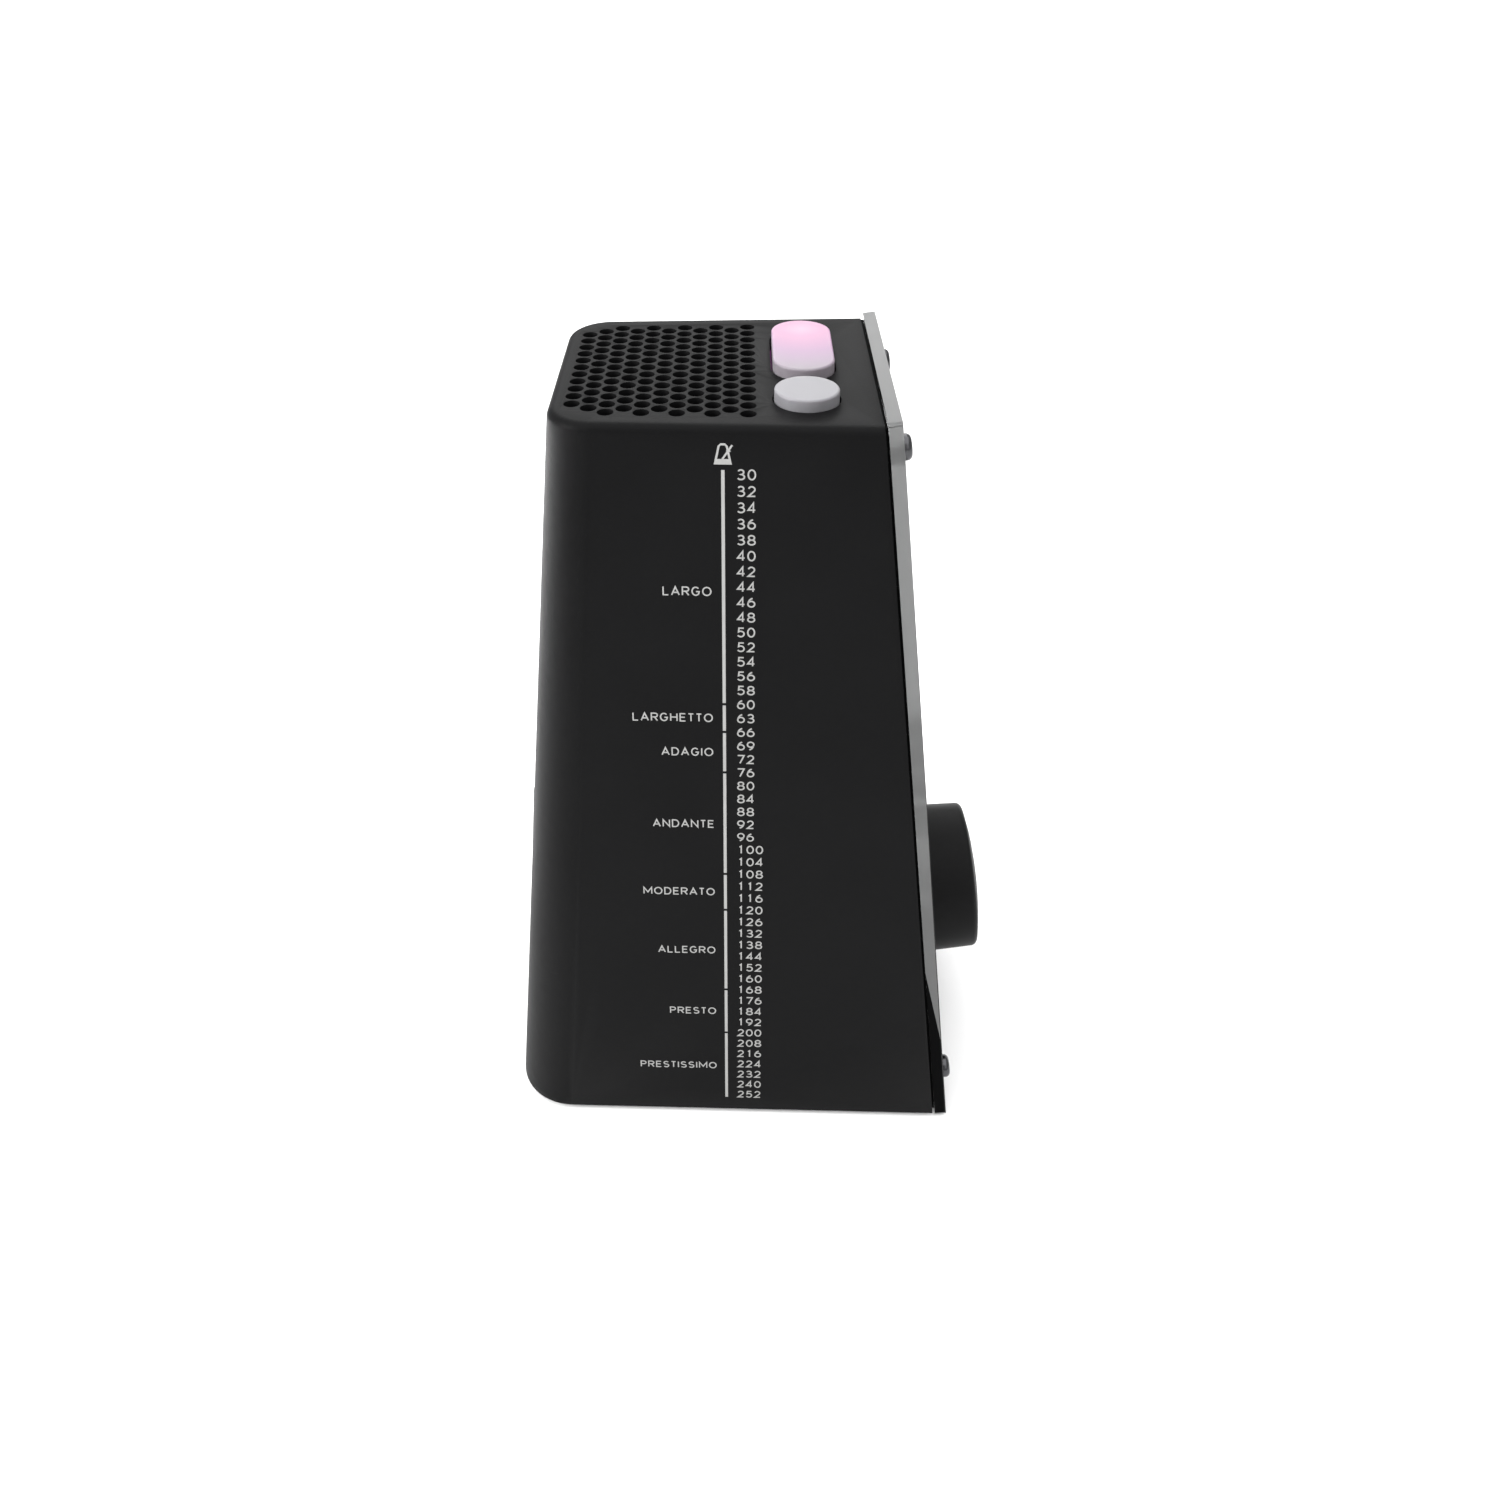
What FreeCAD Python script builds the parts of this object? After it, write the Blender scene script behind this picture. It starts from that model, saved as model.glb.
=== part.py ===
import FreeCAD, Part
import math
import os

# Electronic tower metronome, millimetres.  +Z is up and the control face looks along -Y.
# The origin is on the table, under the middle of the bounding box.

V = FreeCAD.Vector

# ---------------------------------------------------------------- driving dimensions
# Tapered case: a trapezoid in plan, smaller at the top, its front and back leaning inwards.
foot_gap = 1.15            # the case bottom stands this high on its feet
case_height = 129.35
half_front = (32.3, 22.5)  # half widths at the front edge: bottom, top
half_back = (30.2, 20.7)
front_y = (-32.35, -17.41)
back_y = (42.35, 29.42)
rear_radius = (10.0, 7.0)  # rounding of the two rear corners
top_fillet = 1.5
wall = 2.2
fit_gap = 0.15             # assembly gap of a part that drops into the case
slip_gap = 0.10            # gap of a push button in its guide

# Front sandwich, counted along the outward normal of the front opening.
frame_thick = 2.4
sheet_thick = 0.4
panel_thick = 2.0
panel_lip = 0.7            # the clear panel stands past the case, top and bottom
panel_screw_u = (26.2, 16.4)   # half spacing: lower pair, upper pair
panel_screw_v = (5.0, 124.4)   # height up the front slope
panel_screw_r = 1.4
panel_screw_tip = -6.4     # depth of the screw tips behind the opening
screw_head_r = 1.97
screw_head_h = 1.55

# Controls on the front.
knob_v = 26.6
knob_r_front = 13.2
knob_r_back = 13.6
knob_lift = 0.45           # air gap between the knob skirt and the panel
knob_front_w = 11.56      # rim of the front face, which bulges by knob_dome
knob_dome = 1.35
shaft_r = 3.0
key_v = 60.0
key_pitch = 11.5
key_r = 3.3
key_stroke = 0.6
key_proud = 0.5            # the keys stand this far out of the panel
key_count = 4
window_v = 91.0
window_size = (34.0, 24.0)

# Controls and speaker on the top.
grille_pitch = 2.873
grille_hole_r = 1.17
grille_columns = 11
grille_first_y = 1.12
grille_taper = 0.005       # the rows draw together towards the back, like the case
button_y = -7.21
button_proud = 1.7
round_x = -12.01
round_r = 4.65
bar_x = 5.36
bar_size = (20.9, 9.2)
button_gap = 0.28
speaker_y = 12.6
speaker_r = 14.0

# Battery box in the back: three AAA cells standing side by side.
cell_r = 5.25
cell_length = 44.5
cell_pitch = 10.9
cell_count = 3
door_half = 18.6
door_v = (8.0, 64.0)
door_thick = 2.2

# Sockets in the back.
plug_bore_r = 1.80
jack_u = 7.0
wheel_u = -5.5
socket_v = 82.0
wheel_r = 7.0

# ---------------------------------------------------------------- derived places
case_top = foot_gap + case_height
lean_front = math.atan((front_y[1] - front_y[0]) / case_height)
lean_back = math.atan((back_y[0] - back_y[1]) / case_height)
front_slope = case_height / math.cos(lean_front)
sheet_w = sheet_thick
panel_w = sheet_thick + panel_thick
board_front_w = -7.4
board_thick = 1.6


def mix(pair, z):
    """Value at height z of something that runs evenly from the case bottom to its top."""
    share = (z - foot_gap) / case_height
    return pair[0] + (pair[1] - pair[0]) * share


def half_width(v):
    """Half width of the front opening, v up the slope."""
    return half_front[0] + (half_front[1] - half_front[0]) * v / front_slope


FRONT = FreeCAD.Placement(
    V(0, front_y[0], foot_gap),
    FreeCAD.Rotation(V(1, 0, 0), 90 - math.degrees(lean_front)))
BACK = FreeCAD.Placement(
    V(0, back_y[0], foot_gap),
    FreeCAD.Rotation(V(1, 0, 0), math.degrees(lean_back) - 90) * FreeCAD.Rotation(V(0, 0, 1), 180))


def on_front(shape):
    """Carry a shape from the flat (u, v, w) frame of the front opening to its place."""
    placed = shape.copy()
    placed.Placement = FRONT * placed.Placement
    return placed


def on_back(shape):
    """The same for the leaning back wall, u towards -X and w outwards."""
    placed = shape.copy()
    placed.Placement = BACK * placed.Placement
    return placed


# ---------------------------------------------------------------- small shape helpers
def rounded_wire(points, radii):
    """Closed polygon whose corners are rounded by the radii given; 0 leaves a corner sharp."""
    edges = []
    ends = []
    total = len(points)
    for i in range(total):
        here = points[i]
        back = (points[i - 1] - here).normalize()
        ahead = (points[(i + 1) % total] - here).normalize()
        if radii[i] == 0:
            ends.append((here, None, here))
            continue
        half = back.getAngle(ahead) / 2
        run = radii[i] / math.tan(half)
        bisector = (back + ahead).normalize()
        middle = here + bisector * (radii[i] / math.sin(half) - radii[i])
        ends.append((here + back * run, middle, here + ahead * run))
    for i in range(total):
        start, middle, stop = ends[i]
        if middle is not None:
            edges.append(Part.Arc(start, middle, stop).toShape())
        edges.append(Part.LineSegment(stop, ends[(i + 1) % total][0]).toShape())
    return Part.Wire(edges)


def slab(wire, low, high):
    """Flat plate with the outline of a wire drawn in the XY plane."""
    plate = Part.Face(wire).extrude(V(0, 0, high - low))
    plate.translate(V(0, 0, low))
    return plate


def box(low, high):
    return Part.makeBox(high[0] - low[0], high[1] - low[1], high[2] - low[2], V(*low))


def round_box(low, high, radius):
    """Box with its four Z edges rounded."""
    corners = [V(low[0], low[1], 0), V(high[0], low[1], 0), V(high[0], high[1], 0), V(low[0], high[1], 0)]
    return slab(rounded_wire(corners, [radius] * 4), low[2], high[2])


def rod(x, y, low, high, radius):
    return Part.makeCylinder(radius, high - low, V(x, y, low))


def turned(profile):
    """Solid of revolution about Z from (radius, height) points."""
    points = [V(r, 0, z) for r, z in profile]
    points.append(points[0])
    return Part.Face(Part.makePolygon(points)).revolve(V(0, 0, 0), V(0, 0, 1), 360)


def pan_screw(x, y, seat, tip, shaft_radius, head_radius, head_height):
    """Screw along Z with a domed head sitting on seat and its tip lower down."""
    head = rod(x, y, seat, seat + head_height, head_radius)
    rim = [e for e in head.Edges if e.BoundBox.ZMin > seat + head_height - 0.01]
    head = head.makeFillet(head_height * 0.55, rim)
    slot_half = head_radius * 0.62
    for wide, tall in ((slot_half, 0.22), (0.22, slot_half)):
        cross = box((x - wide, y - tall, seat + head_height * 0.45), (x + wide, y + tall, seat + head_height + 1))
        head = head.cut(cross)
    return head.fuse(rod(x, y, tip, seat, shaft_radius)).removeSplitter()


def drilled(plate, holes, low, high):
    """Cut round holes given as (x, y, radius)."""
    tools = [rod(x, y, low, high, r) for x, y, r in holes]
    return plate.cut(Part.makeCompound(tools))


# ---------------------------------------------------------------- case sections
def section(z, inset, front_extra):
    """Plan outline of the case at height z, drawn in by inset and stretched to the front."""
    front_half = mix(half_front, z) - inset
    back_half = mix(half_back, z) - inset
    y_front = mix(front_y, z) - front_extra
    y_back = mix(back_y, z) - inset
    spread = (front_half - back_half) / (mix(back_y, z) - mix(front_y, z)) * front_extra
    radius = mix(rear_radius, z) - inset
    corners = [
        V(-front_half - spread, y_front, z),
        V(front_half + spread, y_front, z),
        V(back_half, y_back, z),
        V(-back_half, y_back, z)]
    return rounded_wire(corners, [0, 0, radius, radius])


def tapered(low, high, inset, front_extra):
    return Part.makeLoft([section(low, inset, front_extra), section(high, inset, front_extra)], True, True)


def grille_holes():
    """Staggered round holes, their rows drawing together towards the back."""
    holes = []
    for column in range(grille_columns):
        back = column * grille_pitch * math.sqrt(3) / 2
        count = 13 if column % 2 == 0 else 12
        if column == grille_columns - 1:
            count = 11
        squeeze = 1 - grille_taper * column * math.sqrt(3) / 2
        for row in range(count):
            x = (row - (count - 1) / 2) * grille_pitch * squeeze
            holes.append((x, grille_first_y + back, grille_hole_r))
    return holes


def bar_outline(grow):
    """Stadium outline of the long top button, grown all round."""
    half_long = bar_size[0] / 2 + grow
    half_short = bar_size[1] / 2 + grow
    corners = [
        V(bar_x - half_long, button_y - half_short, 0), V(bar_x + half_long, button_y - half_short, 0),
        V(bar_x + half_long, button_y + half_short, 0), V(bar_x - half_long, button_y + half_short, 0)]
    return rounded_wire(corners, [half_short - 0.001] * 4)


def key_places():
    first = -(key_count - 1) / 2 * key_pitch
    return [first + i * key_pitch for i in range(key_count)]


def panel_screw_places():
    places = []
    for pair in range(2):
        for side in (-1, 1):
            places.append((side * panel_screw_u[pair], panel_screw_v[pair]))
    return places


# ---------------------------------------------------------------- housing
base_post = ((-24.6, -12.0), (24.6, -12.0), (-23.6, 20.0), (23.6, 20.0))
base_thick = 2.2
clamp_post_x = 16.7
clamp_z = (124.7, 125.9)
rim_bottom = 125.9
rim_top = 128.0
board_z = (121.2, 122.8)
jack_v = socket_v + 4.2
wheel_v = (socket_v + 3.4, socket_v + 5.8)
wheel_w = 1.3 - wheel_r
pivot_w = -door_thick / 2
pivot_r = 1.1
pin_r = 0.8


def door_hole():
    """Opening of the battery door with round sockets for its two hinge pins."""
    gap = 0.25
    opening = box((-door_half - gap, door_v[0] - pivot_r - gap, -wall - 3), (door_half + gap, door_v[1] + gap, 3))
    pins = rod(0, 0, -door_half - 2.0, door_half + 2.0, pin_r + 0.05)
    pins.rotate(V(0, 0, 0), V(0, 1, 0), 90)
    pins.translate(V(0, door_v[0], pivot_w))
    return opening.fuse(pins)


def make_housing():
    shell = tapered(foot_gap, case_top, 0, 0)
    top_edges = []
    for edge in shell.Edges:
        bounds = edge.BoundBox
        on_top = bounds.ZMin > case_top - 0.01
        if on_top and bounds.YMax > mix(front_y, case_top) + 1:
            top_edges.append(edge)
    outer = shell.makeFillet(top_fillet, top_edges)
    roof = case_top - wall
    hollow = tapered(foot_gap, roof, wall, 8.0)
    below = tapered(foot_gap - 1, foot_gap, wall, 8.0)
    shell = outer.cut(hollow).cut(below)

    posts = []
    post_r = 2.4
    post_end = panel_screw_tip - 1.1
    base_space = box((-40, -40, 0), (40, 40, foot_gap + base_thick + 0.05))
    for u, v in panel_screw_places():
        side = 1 if u > 0 else -1
        reach = half_width(v) - wall / 2
        web_low, web_high = sorted((u, side * reach))
        post = rod(u, v, post_end, -frame_thick, post_r)
        web = box((web_low, v - 0.9, post_end), (web_high, v + 0.9, -frame_thick))
        posts.append(on_front(post.fuse(web)).cut(base_space))
    for x, y in base_post:
        side = 1 if x > 0 else -1
        web_low, web_high = sorted((x, side * 29.5))
        post = rod(x, y, foot_gap + base_thick, 14.0, 2.6)
        web = box((web_low, y - 1.0, foot_gap + base_thick), (web_high, y + 1.0, 14.0))
        posts.append(post.fuse(web))
    for side in (-1, 1):
        posts.append(rod(side * clamp_post_x, speaker_y, clamp_z[1], roof + 0.2, 1.9))
    for post in posts:
        shell = shell.fuse(post.common(outer))

    for u, v in panel_screw_places():
        shell = shell.cut(on_front(rod(u, v, panel_screw_tip - 0.4, 0, panel_screw_r + 0.05)))
    base_bores = [rod(x, y, foot_gap, 11.0, 1.25) for x, y in base_post]
    clamp_bores = [rod(s * clamp_post_x, speaker_y, clamp_z[1], 128.2, 0.85) for s in (-1, 1)]
    shell = shell.cut(Part.makeCompound(base_bores)).cut(Part.makeCompound(clamp_bores))

    shell = drilled(shell, grille_holes(), roof - 1, case_top + 1)
    shell = shell.cut(slab(bar_outline(button_gap), roof - 1, case_top + 1))
    shell = drilled(shell, [(round_x, button_y, round_r + button_gap)], roof - 1, case_top + 1)

    shell = shell.cut(on_back(door_hole()))
    jack_hole = rod(jack_u, jack_v, -3, 3, 3.1)
    wheel_slot = round_box((wheel_u - 6.6, wheel_v[0] - 0.45, -3), (wheel_u + 6.6, wheel_v[1] + 0.45, 3), 0.6)
    return shell.cut(on_back(jack_hole)).cut(on_back(wheel_slot)).removeSplitter()


# ---------------------------------------------------------------- base, feet
foot_places = ((-24.0, -22.0), (24.0, -22.0), (-21.0, 29.0), (21.0, 29.0))
foot_r = 4.0
foot_recess = 0.6


def make_base():
    plate = tapered(foot_gap, foot_gap + base_thick, wall + fit_gap, -fit_gap)
    for x, y in base_post:
        plate = plate.cut(rod(x, y, foot_gap - 1, foot_gap + 5, 1.35))
        plate = plate.cut(rod(x, y, foot_gap - 1, foot_gap + 1.2, 2.4))
    recesses = [(x, y, foot_r) for x, y in foot_places]
    return drilled(plate, recesses, foot_gap - 1, foot_gap + foot_recess)


def make_base_screw(x, y):
    head = rod(x, y, foot_gap + 0.1, foot_gap + 1.2, 2.2)
    cross = box((x - 1.3, y - 0.22, foot_gap), (x + 1.3, y + 0.22, foot_gap + 0.6))
    cross = cross.fuse(box((x - 0.22, y - 1.3, foot_gap), (x + 0.22, y + 1.3, foot_gap + 0.6)))
    return head.cut(cross).fuse(rod(x, y, foot_gap + 1.2, 9.6, 1.2)).removeSplitter()


def make_foot(x, y):
    foot = rod(x, y, 0, foot_gap + foot_recess, foot_r)
    rim = [e for e in foot.Edges if e.BoundBox.ZMax < 0.01]
    return foot.makeFillet(0.4, rim)


# ---------------------------------------------------------------- front sandwich
def front_outline(low, high, inset, corner):
    points = [
        V(-half_width(low) + inset, low, 0), V(half_width(low) - inset, low, 0),
        V(half_width(high) - inset, high, 0), V(-half_width(high) + inset, high, 0)]
    return rounded_wire(points, [corner] * 4)


def screw_holes(radius):
    return [(u, v, radius) for u, v in panel_screw_places()]


def key_holes(radius):
    return [(u, key_v, radius) for u in key_places()]


def window(grow):
    half = (window_size[0] / 2 + grow, window_size[1] / 2 + grow)
    return round_box((-half[0], window_v - half[1], -20), (half[0], window_v + half[1], 20), 0.8)


def make_front_frame():
    # It fills the case opening between the base plate and the underside of the roof.
    inset = wall + fit_gap + 0.2
    plate = slab(front_outline(base_thick + 0.5, front_slope - wall - 0.5, inset, 0), -frame_thick, 0)
    plate = drilled(plate, screw_holes(panel_screw_r + 0.1) + key_holes(key_r + slip_gap), -20, 20)
    plate = drilled(plate, [(0, knob_v, 3.6)], -20, 20).cut(window(1.1))
    for u, v in board_post_places():
        plate = plate.fuse(rod(u, v, board_front_w, -frame_thick, 2.2))
        plate = plate.cut(rod(u, v, board_front_w, -frame_thick, 1.05))
    return on_front(plate.removeSplitter())


def board_post_places():
    return [(-16.0, 12.0), (16.0, 12.0), (-16.0, 109.0), (16.0, 109.0)]


def make_panel_sheet():
    sheet = slab(front_outline(0.3, front_slope - 0.3, 0.6, 0.5), 0, sheet_w)
    sheet = drilled(sheet, screw_holes(panel_screw_r + 0.15) + key_holes(key_r + 0.2), -20, 20)
    return on_front(drilled(sheet, [(0, knob_v, 6.0)], -20, 20).cut(window(0)))


def make_front_panel():
    plate = slab(front_outline(-panel_lip, front_slope + panel_lip, 0.05, 0.6), sheet_w, panel_w)
    plate = drilled(plate, screw_holes(panel_screw_r + 0.2) + key_holes(key_r + 0.25), -20, 20)
    return on_front(drilled(plate, [(0, knob_v, 6.0)], -20, 20))


def make_panel_screw(u, v):
    return on_front(pan_screw(u, v, panel_w, panel_screw_tip, panel_screw_r, screw_head_r, screw_head_h))


def make_lcd_glass():
    half = (window_size[0] / 2 + 0.8, window_size[1] / 2 + 0.8)
    return on_front(box((-half[0], window_v - half[1], -2.3), (half[0], window_v + half[1], -0.1)))


def make_lcd_tray():
    half = (window_size[0] / 2 + 2.5, window_size[1] / 2 + 2.5)
    return on_front(box((-half[0], window_v - half[1], board_front_w), (half[0], window_v + half[1], -2.45)))


def make_main_board():
    board = round_box((-19.0, 8.0, board_front_w - board_thick), (19.0, 113.0, board_front_w), 1.0)
    holes = [(u, v, 1.15) for u, v in board_post_places()]
    return on_front(drilled(board, holes, -20, 20))


def make_board_screw(u, v):
    seat = board_front_w - board_thick
    screw = rod(u, v, seat - 1.2, seat, 2.0).fuse(rod(u, v, seat, -3.4, 1.0))
    return on_front(screw.removeSplitter())


# ---------------------------------------------------------------- front keys
key_flange_w = (-3.5, -2.5)
key_front_w = panel_w + key_proud


def make_key(u):
    cap = rod(u, key_v, key_flange_w[1], key_front_w, key_r)
    rim = [e for e in cap.Edges if abs(e.BoundBox.ZMin - key_front_w) < 0.01]
    cap = cap.makeFillet(0.4, rim)
    cap = cap.fuse(rod(u, key_v, key_flange_w[0], key_flange_w[1], key_r + 0.9))
    return on_front(cap.fuse(rod(u, key_v, -3.8, key_flange_w[0], 1.5)).removeSplitter())


def make_key_switch(u):
    top = -3.8 - key_stroke - 0.15
    body = box((u - 3, key_v - 3, board_front_w), (u + 3, key_v + 3, top))
    return on_front(body)


# ---------------------------------------------------------------- tempo encoder and knob
bushing_end = 3.4


def make_encoder():
    body = box((-6, knob_v - 6, board_front_w), (6, knob_v + 6, -2.5))
    bushing = rod(0, knob_v, -2.5, bushing_end, 3.5)
    return on_front(body.fuse(bushing).cut(rod(0, knob_v, -2.2, bushing_end, shaft_r + 0.05)).removeSplitter())


def make_encoder_nut():
    corners = []
    for i in range(6):
        angle = math.radians(60 * i)
        corners.append(V(4.9 * math.cos(angle), knob_v + 4.9 * math.sin(angle), 0))
    nut = slab(rounded_wire(corners, [0.4] * 6), 0, 1.8)
    return on_front(nut.cut(rod(0, knob_v, -1, 3, 3.55)))


def make_knob_shaft():
    return on_front(rod(0, knob_v, -2.0, 9.6, shaft_r))


def make_knob():
    skirt = panel_w + knob_lift
    crown = knob_front_w + knob_dome
    body = turned([(0, skirt), (knob_r_back, skirt), (knob_r_front, crown), (0, crown)])
    dome_r = (knob_r_front ** 2 + knob_dome ** 2) / (2 * knob_dome)
    body = body.common(Part.makeSphere(dome_r, V(0, 0, crown - dome_r)))
    rim = [e for e in body.Edges if e.BoundBox.ZMin > skirt + 1 and e.BoundBox.XLength > 20]
    body = body.makeFillet(1.1, rim)
    inner = rod(0, 0, skirt, skirt + 6.0, 11.6).cut(rod(0, 0, skirt, skirt + 6.0, 6.2))
    body = body.cut(inner).cut(rod(0, 0, skirt, bushing_end + 0.5, 5.4))
    body = body.cut(rod(0, 0, 0, 9.6, shaft_r))
    body.translate(V(0, knob_v, 0))
    return on_front(body)


# ---------------------------------------------------------------- top buttons
flange_z = (127.1, 128.1)
top_stroke = 0.8
switch_top = 125.9


def make_light_button():
    cap = slab(bar_outline(0), flange_z[1], case_top + button_proud)
    rim = [e for e in cap.Edges if e.BoundBox.ZMin > case_top + button_proud - 0.01]
    cap = cap.makeFillet(0.35, rim)
    flange = slab(bar_outline(1.0), flange_z[0], flange_z[1])
    return cap.fuse(flange).fuse(rod(0.5, button_y, 126.9, flange_z[0], 1.5)).removeSplitter()


def make_round_button():
    cap = rod(round_x, button_y, flange_z[1], case_top + button_proud, round_r)
    rim = [e for e in cap.Edges if e.BoundBox.ZMin > case_top + button_proud - 0.01]
    cap = cap.makeFillet(0.35, rim)
    flange = rod(round_x, button_y, flange_z[0], flange_z[1], round_r + 0.9)
    return cap.fuse(flange).fuse(rod(round_x, button_y, 126.9, flange_z[0], 1.5)).removeSplitter()


def make_top_board():
    return round_box((-17.6, -10.4, board_z[0]), (17.6, -2.2, board_z[1]), 1.0)


def make_top_switch(x):
    return box((x - 3, button_y - 3, board_z[1]), (x + 3, button_y + 3, switch_top))


def make_beat_lamp():
    lamp_x = bar_x + bar_size[0] / 2 - bar_size[1] / 2 + 0.6
    lamp = rod(lamp_x, button_y, board_z[1], 125.9, 1.5)
    rim = [e for e in lamp.Edges if e.BoundBox.ZMin > 125.8]
    return lamp.makeFillet(1.2, rim).fuse(rod(lamp_x, button_y, board_z[1], board_z[1] + 0.8, 1.9))


# ---------------------------------------------------------------- speaker
def make_grille_cloth():
    cloth = round_box((-18.0, -0.8, 128.05), (18.0, 26.6, 128.3), 2.0)
    return drilled(cloth, [(s * clamp_post_x, speaker_y, 2.0) for s in (-1, 1)], 128, 129)


def make_speaker_basket():
    basket = turned([
        (speaker_r - 1.6, rim_top), (speaker_r, rim_top), (speaker_r, rim_bottom),
        (12.0, rim_bottom), (7.5, 121.5), (6.0, 121.5), (6.0, 122.5), (6.8, 122.5), (11.4, 126.6),
        (speaker_r - 1.6, 126.9)])
    basket.translate(V(0, speaker_y, 0))
    return basket


def make_speaker_cone():
    cone = turned([
        (0, 125.3), (2.6, 124.8), (3.6, 123.9), (10.6, 127.0), (11.4, 127.5), (12.3, 127.0), (12.3, 127.2),
        (11.4, 127.8), (10.5, 127.3), (3.6, 124.3), (2.7, 125.1), (0, 125.6)])
    cone.translate(V(0, speaker_y, 0))
    return cone


def make_speaker_magnet():
    magnet = rod(0, speaker_y, 118.4, 121.5, 8.0)
    return magnet.fuse(rod(0, speaker_y, 121.5, 122.8, 3.0)).removeSplitter()


def make_speaker_clamp():
    ring = rod(0, speaker_y, clamp_z[0], clamp_z[1], 15.0)
    ears = box((-18.4, speaker_y - 2.4, clamp_z[0]), (18.4, speaker_y + 2.4, clamp_z[1]))
    plate = ring.fuse(ears).cut(rod(0, speaker_y, clamp_z[0], clamp_z[1], 12.6))
    holes = [(s * clamp_post_x, speaker_y, 0.95) for s in (-1, 1)]
    return drilled(plate, holes, clamp_z[0] - 1, clamp_z[1] + 1).removeSplitter()


def make_clamp_screw(x):
    head = rod(x, speaker_y, clamp_z[0] - 1.1, clamp_z[0], 1.6)
    return head.fuse(rod(x, speaker_y, clamp_z[0], 127.8, 0.8)).removeSplitter()


# ---------------------------------------------------------------- battery box
cell_w = -(door_thick + 0.5 + cell_r)
tray_wall = 1.2
tray_v = (10.4, 62.0)
cell_low = 14.4


def cell_places():
    first = -(cell_count - 1) / 2 * cell_pitch
    return [first + i * cell_pitch for i in range(cell_count)]


def make_tray():
    half = cell_pitch * cell_count / 2 + 0.3 + tray_wall
    deep = cell_w - cell_r - 0.4 - tray_wall
    outer = box((-half, tray_v[0], deep), (half, tray_v[1], -wall - 0.35))
    inner = box((-half + tray_wall, tray_v[0] + tray_wall, deep + tray_wall), (half - tray_wall, tray_v[1] - tray_wall, 5))
    return on_back(outer.cut(inner))


def make_cell(u):
    body = Part.makeCylinder(cell_r, cell_length - 1.0, V(u, cell_low, cell_w), V(0, 1, 0))
    knob = Part.makeCylinder(1.9, 1.0, V(u, cell_low + cell_length - 1.0, cell_w), V(0, 1, 0))
    return on_back(body.fuse(knob).removeSplitter())


def make_cell_springs():
    """Tapered springs, one per cell, on a strip against the lower tray wall."""
    half = cell_pitch * cell_count / 2 - 0.4
    low = tray_v[0] + tray_wall
    strip = box((-half, low, cell_w - 3.2), (half, low + 0.4, cell_w + 3.2))
    for u in cell_places():
        strip = strip.fuse(Part.makeCone(3.0, 1.8, cell_low - low - 0.4, V(u, low + 0.4, cell_w), V(0, 1, 0)))
    return on_back(strip.removeSplitter())


def make_cell_plate():
    half = cell_pitch * cell_count / 2 - 0.4
    low = cell_low + cell_length
    return on_back(box((-half, low, cell_w - 3.2), (half, tray_v[1] - tray_wall, cell_w + 3.2)))


def make_door():
    """Lid on two hinge pins along its lower edge, with a finger groove near the top."""
    plate = box((-door_half, door_v[0], -door_thick), (door_half, door_v[1], 0))
    roll = Part.makeCylinder(pivot_r, 2 * door_half, V(-door_half, door_v[0], pivot_w), V(1, 0, 0))
    pins = Part.makeCylinder(pin_r, 2 * door_half + 3.0, V(-door_half - 1.5, door_v[0], pivot_w), V(1, 0, 0))
    groove = Part.makeCylinder(2.4, 12.0, V(-6, door_v[1] - 5.0, 1.4), V(1, 0, 0))
    return on_back(plate.fuse(roll).cut(groove).fuse(pins).removeSplitter())


# ---------------------------------------------------------------- rear sockets
pot_r = 3.2


def make_rear_board():
    board = box((-13.0, socket_v, -18.0), (13.0, socket_v + 1.2, -3.2))
    return on_back(board)


def make_jack():
    """Phones socket: a flat body on the board and a round nose flush with the back wall."""
    low = socket_v + 1.2
    body = box((jack_u - 3.2, low, -15.0), (jack_u + 3.2, low + 6.0, -wall - 0.3))
    nose = rod(jack_u, jack_v, -wall - 0.3, 0, 3.0)
    return on_back(body.fuse(nose).cut(rod(jack_u, jack_v, -13.0, 1, plug_bore_r)).removeSplitter())


def make_pot():
    body = Part.makeCylinder(pot_r, wheel_v[0] - 0.3 - socket_v - 1.2, V(wheel_u, socket_v + 1.2, wheel_w), V(0, 1, 0))
    stem = Part.makeCylinder(1.0, 4.4, V(wheel_u, socket_v + 1.2, wheel_w), V(0, 1, 0))
    return on_back(body.fuse(stem).removeSplitter())


def make_wheel():
    """Volume wheel: a disc with finger notches, its rim standing through a slot in the back."""
    wheel = Part.makeCylinder(wheel_r, wheel_v[1] - wheel_v[0], V(0, wheel_v[0], 0), V(0, 1, 0))
    notches = []
    count = 24
    for i in range(count):
        angle = 2 * math.pi * (i + 0.5) / count
        place = V((wheel_r + 0.25) * math.cos(angle), wheel_v[0] - 1, (wheel_r + 0.25) * math.sin(angle))
        notches.append(Part.makeCylinder(0.55, 5, place, V(0, 1, 0)))
    wheel = wheel.cut(Part.makeCompound(notches))
    wheel = wheel.cut(Part.makeCylinder(1.05, 10, V(0, wheel_v[0] - 1, 0), V(0, 1, 0)))
    wheel.translate(V(wheel_u, 0, wheel_w))
    return on_back(wheel)


# ---------------------------------------------------------------- write every piece
def numbered(name, places, make):
    """One solid per place, named name_1, name_2 and so on."""
    return {f"{name}_{i + 1}": make(*place) for i, place in enumerate(places)}


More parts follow.
